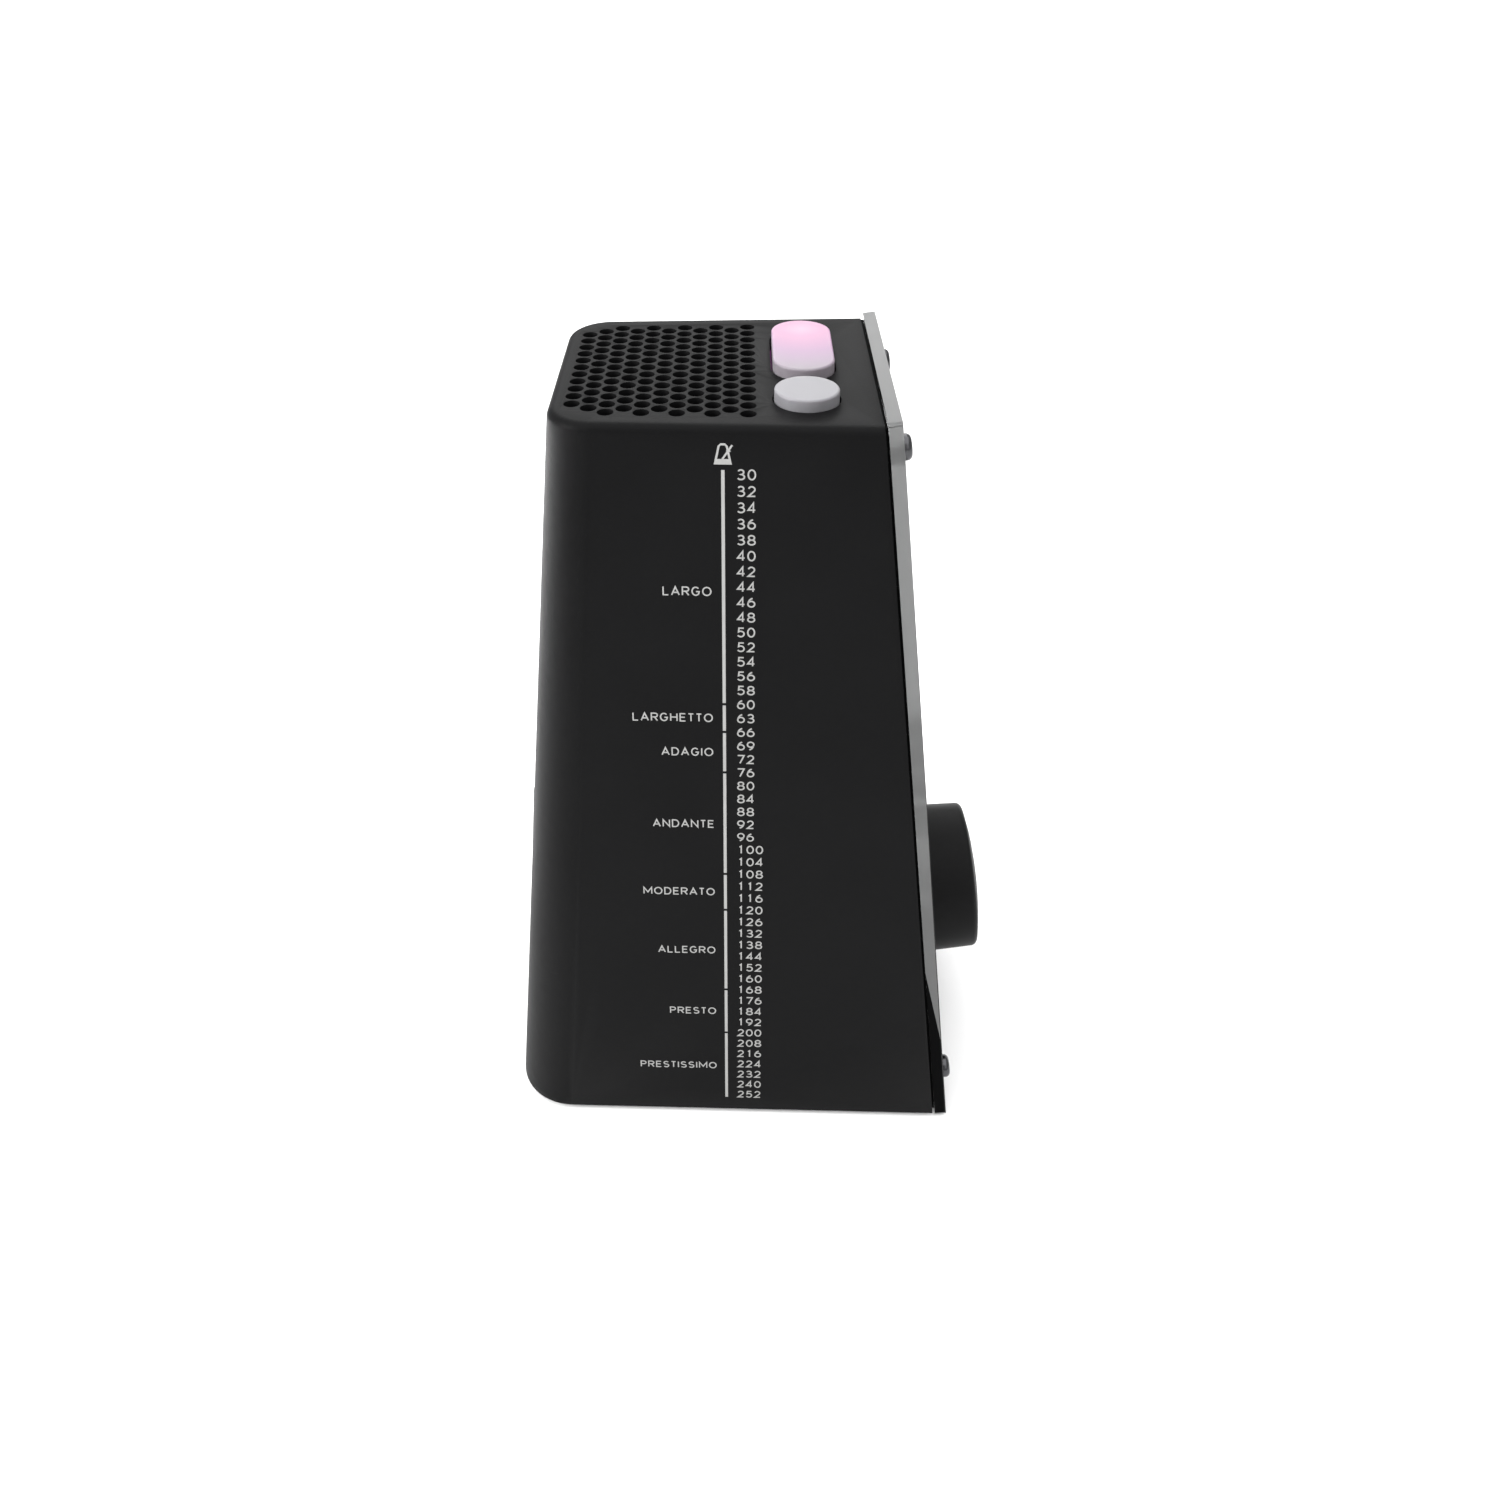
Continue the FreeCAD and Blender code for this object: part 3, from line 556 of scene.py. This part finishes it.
def acrylic(name, colour, rough, clear=1.0):
    """Acrylic, a little hazed by its patches, and clear or partly whitened by the cutter."""
    material = bpy.data.materials.new(name)
    material.use_nodes = True
    tree = material.node_tree
    shader = tree.nodes["Principled BSDF"]
    shader.inputs["Base Color"].default_value = (*colour, 1)
    shader.inputs["Transmission Weight"].default_value = clear
    shader.inputs["IOR"].default_value = 1.49
    shader.inputs["Specular IOR Level"].default_value = 0.15
    skin = tree.nodes.new("ShaderNodeGroup")
    skin.node_tree = moulded_grain
    skin.inputs["Patch Scale"].default_value = 30.0
    tree.links.new(scaled(tree, skin.outputs["Patches"], *rough), shader.inputs["Roughness"])
    return material


def is_side_edge(face):
    """Whether a face of the panel belongs to its left or right edge."""
    return abs(face.normal.x) > 0.9 and face.area > side_area


black_film_and_painted_wedge = grained(
    "black_film_and_painted_wedge", (0.001, 0.001, 0.0011), (0.0016, 0.0016, 0.0018), (0.6, 0.7), 0.02, 0.002,
    patch_scale=30.0)
clear_panel = welded(
    "front_panel", "clear_panel", acrylic("clear_acrylic", (0.95, 0.96, 0.96), (0.0, 0.02)),
    "case")
clear_panel.data.transform(Matrix.Translation(outwards * film_gap * mm))
weights = clear_panel.data.attributes.new("bevel_weight_edge", "FLOAT", "EDGE")
for edge in clear_panel.data.edges:
    ends = [from_front @ clear_panel.data.vertices[i].co for i in edge.vertices]
    in_front = min(end.z for end in ends) > (panel_face - 0.1) * mm
    weights.data[edge.index].value = in_front and (ends[0] - ends[1]).length > straight_edge
only(clear_panel)
rim = clear_panel.modifiers.new("rim", "BEVEL")
rim.width = bevel_width * mm
rim.segments = 2
rim.limit_method = "WEIGHT"
rim.use_clamp_overlap = False
bpy.ops.object.modifier_apply(modifier="rim")
bpy.ops.object.shade_smooth_by_angle(angle=math.radians(35.0))
clear_panel.data.materials.append(acrylic("milled_acrylic", (0.18, 0.182, 0.182), (0.26, 0.34), 0.6))
clear_panel.data.materials.append(black_film_and_painted_wedge)
# The bevel is opaque near-black: painted shade for the dark line along the panel's front edges
clear_panel.data.materials.append(acrylic("polished_bevel_painted_shade", (0.02, 0.02, 0.02), (0.1, 0.2), 0.0))
for face in clear_panel.data.polygons:
    face.select = is_side_edge(face)
# A cut slants across the side edges; below it their faces are painted black, a painted reflection of the
# film
painted_wedge_start = Vector((0, painted_wedge_front, panel_face + film_gap)) * mm
painted_wedge_up = Vector((0, panel_face - film_face, painted_wedge_back - painted_wedge_front)).normalized()
only(clear_panel)
bpy.ops.object.mode_set(mode="EDIT")
bpy.ops.mesh.bisect(plane_co=front @ painted_wedge_start, plane_no=front.to_3x3() @ painted_wedge_up)
bpy.ops.object.mode_set(mode="OBJECT")
# Upright faces are milled, except side-edge faces below the cut, which get the film's black as a painted
# reflection
for face in clear_panel.data.polygons:
    tilt = face.normal.dot(outwards)
    if abs(tilt) < 0.3:
        in_painted_wedge = (from_front @ face.center - painted_wedge_start).dot(painted_wedge_up) < 0
        face.material_index = 2 if is_side_edge(face) and in_painted_wedge else 1
    # Bevel faces take the near-black painted shade
    elif 0.3 < tilt < 0.98:
        face.material_index = 3


def coat(names, finish):
    """Gives a finish to CAD nodes that stay as they are."""
    for name in names:
        nodes[name].data.materials.clear()
        nodes[name].data.materials.append(finish)


coat(["panel_sheet"], black_film_and_painted_wedge)
coat(["front_frame"], case_plastic)

# ------------------------------------------------------------------ legends on the film
# Light grey prints under the clear panel: ticks and turning arrows round the tempo knob, a sign over
# each key and a line round the display window.
knob_v = 26.6
key_v = 60.0
key_pitch = 11.5
window_v = 91.0
window_half = (17.0, 12.0)
sign_v = key_v + 6.4
sign_half = 1.1
sign_line = 0.34
tick_foot = 15.4                # the ticks run from here out to one of the next two
short_tick = 16.2
long_tick = 17.0
arrow_radius = 18.6
arrow_half = 0.7


def circle(x, y, radius, count):
    """Points of a circle."""
    angles = [2 * math.pi * i / count for i in range(count)]
    return [(x + radius * math.cos(a), y + radius * math.sin(a)) for a in angles]


def arc_band(x, y, radius, width, start, end):
    """Outline of a curved band from start to end in degrees."""
    outer = []
    inner = []
    for i in range(17):
        a = math.radians(start + (end - start) * i / 16)
        outer.append((x + (radius + width / 2) * math.cos(a), y + (radius + width / 2) * math.sin(a)))
        inner.append((x + (radius - width / 2) * math.cos(a), y + (radius - width / 2) * math.sin(a)))
    return outer + inner[::-1]


def on_face(piece, plane, depth, thick):
    """Thickens a flat print and carries it from its own plane to its depth on a leaning face."""
    thickened(piece, thick)
    piece.data.transform(plane @ Matrix.Translation((0, 0, depth * mm)))
    return piece


def round_knob(radius, degrees):
    """A point on a circle round the knob."""
    a = math.radians(degrees)
    return (radius * math.cos(a), knob_v + radius * math.sin(a))


prints = []
for i in range(60):
    is_long = i % 5 == 0
    tick = [round_knob(tick_foot, 6 * i), round_knob(long_tick if is_long else short_tick, 6 * i)]
    prints.append(flat_plate(*ribbon(tick, 0.28 if is_long else 0.18)))
for start, end, head in ((110, 132, 136), (70, 48, 44)):
    prints.append(flat_plate(arc_band(0, knob_v, arrow_radius, 0.3, start, end)))
    prints.append(flat_plate([
        round_knob(arrow_radius, head), round_knob(arrow_radius + arrow_half, end),
        round_knob(arrow_radius - arrow_half, end)]))
start_u, minus_u, plus_u, tone_u = [(-1.5 + i) * key_pitch for i in range(4)]
prints.append(flat_plate([
    (start_u - 1.6, sign_v - 1.0), (start_u - 0.1, sign_v), (start_u - 1.6, sign_v + 1.0)]))
prints.append(flat_plate(circle(start_u + 1.1, sign_v, 0.8, 24)))
for u in (minus_u, plus_u):
    prints.append(flat_plate(*ribbon([(u - sign_half, sign_v), (u + sign_half, sign_v)], sign_line)))
prints.append(flat_plate(*ribbon([(plus_u, sign_v - sign_half), (plus_u, sign_v + sign_half)], sign_line)))
prints.append(flat_plate(circle(tone_u - 0.5, sign_v - 0.8, 0.55, 20)))
prints.append(flat_plate(*ribbon([(tone_u - 0.05, sign_v - 0.8), (tone_u - 0.05, sign_v + 1.3)], 0.2)))
prints.append(flat_plate([
    (tone_u - 0.15, sign_v + 1.3), (tone_u + 0.95, sign_v + 0.5), (tone_u + 0.95, sign_v + 0.1),
    (tone_u - 0.15, sign_v + 0.85)]))


def round_frame(x, y, half, radius):
    """Outline of a rectangle with round corners."""
    points = []
    for corner, (sx, sy) in enumerate([(1, 1), (-1, 1), (-1, -1), (1, -1)]):
        for i in range(7):
            a = math.radians(90 * corner + 15 * i)
            points.append((x + sx * (half[0] - radius) + radius * math.cos(a),
                           y + sy * (half[1] - radius) + radius * math.sin(a)))
    return points


line_outer = [side + 1.2 for side in window_half]
line_inner = [side - 0.25 for side in line_outer]
prints.append(flat_plate(
    round_frame(0, window_v, line_outer, 1.6), round_frame(0, window_v, line_inner, 1.35)))
legends = on_face(joined("film_legends", prints), front, film_face + 0.004, 0.012)
finished(legends, scale_ink, "case")

# ------------------------------------------------------------------ display
# A reflective liquid crystal glass in a tray behind the window.  Its dark segments show the tempo in
# figures and the beats of the bar as squares.
lcd_face = -0.1
figure_left = -10.6
figure_step = 7.6
figure_foot = window_v - 4.2
beat_left = -9.2
beat_step = 3.4
beat_v = window_v - 8.4
lcd_finish = grained(
    "lcd_glass", (0.30, 0.34, 0.29), (0.34, 0.38, 0.33), (0.08, 0.14), 0.5, 0.001, patch_scale=25.0)
segment_ink = grained(
    "lcd_segment", (0.012, 0.014, 0.02), (0.02, 0.022, 0.03), (0.1, 0.2), 0.5, 0.001, patch_scale=80.0)
coat(["lcd_glass"], lcd_finish)
segment_pairs = {"0": "abcdef", "1": "bc", "2": "abdeg"}


def seven_segments(figure, x, y, height, width, line):
    """Bars of one seven-segment figure whose lower left corner is at x, y."""
    gap = line * 0.62
    mid = y + height / 2
    ends = {
        "a": ((x + gap, y + height), (x + width - gap, y + height)),
        "b": ((x + width, mid + gap), (x + width, y + height - gap)),
        "c": ((x + width, y + gap), (x + width, mid - gap)),
        "d": ((x + gap, y), (x + width - gap, y)),
        "e": ((x, y + gap), (x, mid - gap)),
        "f": ((x, mid + gap), (x, y + height - gap)),
        "g": ((x + gap, mid), (x + width - gap, mid))}
    bars = []
    for part in segment_pairs[figure]:
        start, end = (Vector(e) for e in ends[part])
        run = (end - start).normalized()
        side = Vector((-run.y, run.x)) * line / 2
        tip = run * line / 2
        bars.append(flat_plate([tuple(p) for p in (
            start, start + tip - side, end - tip - side, end, end - tip + side, start + tip + side)]))
    return bars


def square(x, y, half):
    """Corners of a square about its middle."""
    return [(x + sx * half, y + sy * half) for sx, sy in ((-1, -1), (1, -1), (1, 1), (-1, 1))]


segments = []
for i, figure in enumerate("120"):
    segments += seven_segments(figure, figure_left + i * figure_step, figure_foot, 10.4, 5.0, 1.15)
for i in range(4):
    beat_u = beat_left + i * beat_step
    holes = [square(beat_u, beat_v, 0.6)] if i > 0 else []
    segments.append(flat_plate(square(beat_u, beat_v, 0.95), *holes))
shown = on_face(joined("lcd_segments", segments), front, lcd_face + 0.003, 0.01)
finished(shown, segment_ink, "case")

# ------------------------------------------------------------------ panel screws
# Four pan-head machine screws in black nickel hold the panel, the film and the front frame on the
# posts of the case.
black_nickel = grained(
    "black_nickel", (0.05, 0.05, 0.053), (0.09, 0.09, 0.094), (0.2, 0.3), 0.5, 0.002, 4000.0, 300.0, 1.0)
for i in range(1, 5):
    welded(f"panel_screw_{i}", f"pan_screw_{i}", black_nickel, "case", rim=0.04)

# ------------------------------------------------------------------ tempo knob
# A large smooth knob with a soft rim, moulded in black ABS, with a printed pointer near its rim.
# It turns on the steel shaft of the encoder, which a brass nut holds on the front frame.
knob_rim = 11.56                # front rim of the knob, out from the case's front opening
pointer_foot = 7.0              # the pointer runs from here to its tip, out from the knob's middle
pointer_tip = 11.2
pointer_width = 0.9
knob_plastic = grained(
    "knob_plastic", (0.0065, 0.0065, 0.0067), (0.009, 0.009, 0.0093), (0.40, 0.48), 0.055, 0.01,
    patch_scale=90.0)
tempo_knob = welded("knob", "tempo_knob", knob_plastic, "knob_set")
pointer = joined(
    "knob_pointer", [strip(0, knob_v + pointer_foot, knob_v + pointer_tip, pointer_width, 5)])
pointer.data.transform(front @ Matrix.Translation((0, 0, knob_rim * mm)))
pressed(pointer, tempo_knob, "NEAREST_SURFACEPOINT")
finished(thickened(pointer, ink_thick), scale_ink, "knob_set")

steel = grained(
    "bright_steel", (0.20, 0.20, 0.205), (0.28, 0.28, 0.285), (0.28, 0.42), 0.5, 0.002, 3500.0, 250.0, 1.0)
brass = grained(
    "brass", (0.34, 0.23, 0.10), (0.42, 0.30, 0.14), (0.25, 0.4), 0.5, 0.002, 3500.0, 250.0, 1.0)
coat(["knob_shaft", "encoder_body"], steel)
coat(["encoder_nut"], brass)

# ------------------------------------------------------------------ front keys
# Four round keys in the same translucent white as the top buttons.  They stand half a millimetre off
# the panel, in holes through it.
for i in range(1, 5):
    welded(f"key_{i}", f"front_key_{i}", button_plastic, f"key_{i}_body")

# ------------------------------------------------------------------ grille cloth and speaker
# Black acoustic cloth is glued under the grille.  Under it sits a small loudspeaker: a pressed steel
# basket, a black paper cone and a plated magnet, held by a sheet clamp and two screws.


def woven(name, colour, thread):
    """Plain weave: two sets of threads at right angles, each over and under the other."""
    material = bpy.data.materials.new(name)
    material.use_nodes = True
    tree = material.node_tree
    shader = tree.nodes["Principled BSDF"]
    shader.inputs["Roughness"].default_value = 0.9
    shader.inputs["Specular IOR Level"].default_value = 0.15
    place = tree.nodes.new("ShaderNodeTexCoord").outputs["Object"]
    sets = []
    for axis in ("X", "Y"):
        wave = tree.nodes.new("ShaderNodeTexWave")
        wave.bands_direction = axis
        wave.inputs["Scale"].default_value = 0.5 / (thread * mm)
        tree.links.new(place, wave.inputs["Vector"])
        sets.append(wave.outputs["Fac"])
    cross = tree.nodes.new("ShaderNodeMath")
    cross.operation = "MULTIPLY"
    tree.links.new(sets[0], cross.inputs[0])
    tree.links.new(sets[1], cross.inputs[1])
    shade = tree.nodes.new("ShaderNodeMix")
    shade.data_type = "RGBA"
    shade.inputs["A"].default_value = (*[c * 0.4 for c in colour], 1)
    shade.inputs["B"].default_value = (*colour, 1)
    tree.links.new(cross.outputs["Value"], shade.inputs["Factor"])
    tree.links.new(shade.outputs["Result"], shader.inputs["Base Color"])
    relief = tree.nodes.new("ShaderNodeBump")
    relief.inputs["Distance"].default_value = 0.1 * mm
    tree.links.new(cross.outputs["Value"], relief.inputs["Height"])
    tree.links.new(relief.outputs["Normal"], shader.inputs["Normal"])
    return material


cone_paper = grained(
    "cone_paper", (0.012, 0.012, 0.012), (0.03, 0.03, 0.029), (0.8, 0.95), 0.1, 0.05, 1400.0, 500.0)
coat(["grille_cloth"], woven("speaker_cloth", (0.008, 0.008, 0.0085), 0.35))
coat(["speaker_cone"], cone_paper)
coat(["speaker_basket", "speaker_magnet", "speaker_clamp", "clamp_screw_1", "clamp_screw_2"], steel)

# ------------------------------------------------------------------ boards and their parts
# Three circuit boards in green solder mask carry the display, the switches, the lamp, the encoder,
# the phones socket and the volume control.


def solder_mask():
    """Green lacquer over copper tracks, which show as lighter raised lines between the cells."""
    material = grained(
        "solder_mask", (0.006, 0.06, 0.022), (0.010, 0.085, 0.032), (0.2, 0.32), 0.5, 0.01, 2000.0, 120.0)
    tree = material.node_tree
    shader = tree.nodes["Principled BSDF"]
    tracks = tree.nodes.new("ShaderNodeTexVoronoi")
    tracks.distance = "CHEBYCHEV"
    tracks.feature = "DISTANCE_TO_EDGE"
    tracks.inputs["Scale"].default_value = 260.0
    tree.links.new(tree.nodes.new("ShaderNodeTexCoord").outputs["Object"], tracks.inputs["Vector"])
    line = tree.nodes.new("ShaderNodeMapRange")
    line.inputs["From Min"].default_value = 0.05
    line.inputs["From Max"].default_value = 0.08
    line.inputs["To Min"].default_value = 1.0
    line.inputs["To Max"].default_value = 0.0
    tree.links.new(tracks.outputs["Distance"], line.inputs["Value"])
    copper = tree.nodes.new("ShaderNodeMix")
    copper.data_type = "RGBA"
    copper.inputs["B"].default_value = (0.03, 0.16, 0.06, 1)
    tree.links.new(line.outputs["Result"], copper.inputs["Factor"])
    tree.links.new(tree.nodes["colour"].outputs["Result"], copper.inputs["A"])
    tree.links.new(copper.outputs["Result"], shader.inputs["Base Color"])
    return material


part_plastic = grained(
    "part_plastic", (0.16, 0.16, 0.165), (0.22, 0.22, 0.225), (0.45, 0.6), 0.4, 0.01, patch_scale=120.0)
coat(["main_board", "top_board", "rear_board"], solder_mask())
coat(["light_switch", "round_switch", "lcd_tray", "volume_pot"] + [f"key_switch_{i}" for i in range(1, 5)],
     part_plastic)
coat(["board_screw_1", "board_screw_2"], steel)
coat(["beat_lamp"], acrylic("lamp_epoxy", (0.95, 0.8, 0.88), (0.02, 0.1)))

# ------------------------------------------------------------------ battery box
# The battery door closes flush in the back on two hinge pins.  Behind it a black tray holds three
# cells in printed sleeves, between tapered springs below and a plate above, both nickel plated.
back_foot = 42.35               # the back's distance from the middle at its foot
back_head = 29.42               # and at its head
back_lean = math.atan((back_foot - back_head) / case_rise)
back = (Matrix.Translation(Vector((0, back_foot, foot_z)) * mm)
        @ Matrix.Rotation(back_lean - math.radians(90), 4, "X") @ Matrix.Rotation(math.pi, 4, "Z"))
rib_top = 54.4                  # the first rib of the door's grip, the others below it
rib_step = 1.5
arrow_foot = 49.6
rib_root = 0.3                  # how deep the ribs reach into the door
sleeve_band = 44.0              # the band starts here
welded("battery_door", "door_leaf", case_plastic, "battery_door_body", rim=0.15)


def raised_rib(v, half, width, proud):
    """One round-ended rib standing on the back, bevelled all round."""
    outline = round_frame(0, v, (half, width / 2), width / 2 - 0.001)
    rib = thickened(joined("rib", [flat_plate(outline)]), proud + rib_root)
    rib.data.transform(Matrix.Translation((0, 0, -rib_root * mm)))
    soften_rims(rib, 0.1, 2, 60.0)
    return rib


ribs = [raised_rib(rib_top - rib_step * i, 5.0, 0.8, 0.22) for i in range(3)]
arrow = [(-1.5, arrow_foot + 2.0), (0, arrow_foot), (1.5, arrow_foot + 2.0)]
ribs.append(thickened(joined("arrow", [flat_plate(arrow)]), 0.15))
grip = joined("door_grip", ribs)
grip.data.transform(back)
finished(grip, case_plastic, "battery_door_body")


def cell_sleeve():
    """A plain printed sleeve: slate blue along the cell, with a pale grey band near its top."""
    material = grained(
        "cell_sleeve", (0.020, 0.045, 0.075), (0.026, 0.056, 0.092), (0.24, 0.32), 0.5, 0.002,
        patch_scale=90.0)
    tree = material.node_tree
    turn = tree.nodes.new("ShaderNodeMapping")
    turn.vector_type = "TEXTURE"
    turn.inputs["Rotation"].default_value = (back_lean, 0, 0)
    split = tree.nodes.new("ShaderNodeSeparateXYZ")
    band = tree.nodes.new("ShaderNodeMath")
    band.operation = "GREATER_THAN"
    band.inputs[1].default_value = sleeve_band * mm
    tree.links.new(tree.nodes.new("ShaderNodeTexCoord").outputs["Object"], turn.inputs["Vector"])
    tree.links.new(turn.outputs["Vector"], split.inputs["Vector"])
    tree.links.new(split.outputs["Z"], band.inputs[0])
    pick = tree.nodes.new("ShaderNodeMix")
    pick.data_type = "RGBA"
    pick.inputs["B"].default_value = (0.20, 0.205, 0.21, 1)
    tree.links.new(band.outputs["Value"], pick.inputs["Factor"])
    tree.links.new(tree.nodes["colour"].outputs["Result"], pick.inputs["A"])
    tree.links.new(pick.outputs["Result"], tree.nodes["Principled BSDF"].inputs["Base Color"])
    return material


tray_plastic = grained(
    "tray_plastic", (0.010, 0.010, 0.0105), (0.015, 0.015, 0.0155), (0.5, 0.62), 0.25, 0.02,
    patch_scale=80.0)
contact_nickel = grained(
    "contact_nickel", (0.06, 0.06, 0.062), (0.09, 0.09, 0.092), (0.5, 0.62), 0.5, 0.004,
    3500.0, 250.0, 1.0)
coat(["battery_tray"], tray_plastic)
coat(["battery_1", "battery_2", "battery_3"], cell_sleeve())
coat(["battery_springs", "battery_plate"], contact_nickel)

# ------------------------------------------------------------------ phones socket and volume wheel
# A black socket for a 3.5 mm plug, flush in the back, and the notched rim of the volume wheel beside
# it.  Each has a printed sign: a pair of headphones, and a wedge that grows with the volume.
jack_u = 7.0
wheel_u = -5.5
sign_height = 93.4
band_radius = 1.7               # of the headphones sign
wedge_half = 3.0                # half the length of the volume sign
welded("volume_wheel", "thumb_wheel", knob_plastic, "volume_wheel_body", rim=0.1)
coat(["phones_jack"], tray_plastic)
rear_prints = [flat_plate(arc_band(jack_u, sign_height - 0.5, band_radius, 0.32, 0, 180))]
for side in (-1, 1):
    ear = round_frame(jack_u + side * band_radius, sign_height - 1.0, (0.48, 0.8), 0.3)
    rear_prints.append(flat_plate(ear))
rear_prints.append(flat_plate([
    (wheel_u - wedge_half, sign_height - 0.7), (wheel_u + wedge_half, sign_height - 0.7),
    (wheel_u + wedge_half, sign_height + 1.1)]))
rear_signs = on_face(joined("rear_signs", rear_prints), back, 0.004, 0.02)
finished(rear_signs, scale_ink, "case")

# ------------------------------------------------------------------ base and feet
# The bottom cover is moulded like the case and held by four zinc plated screws.  Four rubber feet
# are pressed into it.
rubber = grained(
    "foot_rubber", (0.012, 0.012, 0.012), (0.02, 0.02, 0.02), (0.7, 0.85), 0.2, 0.03, 1800.0, 300.0)
welded("base_plate", "bottom_cover", case_plastic, "case", rim=0.12)
for i in range(1, 5):
    welded(f"foot_{i}", f"rubber_foot_{i}", rubber, "case", rim=0.15)
coat([f"base_screw_{i}" for i in range(1, 5)], steel)
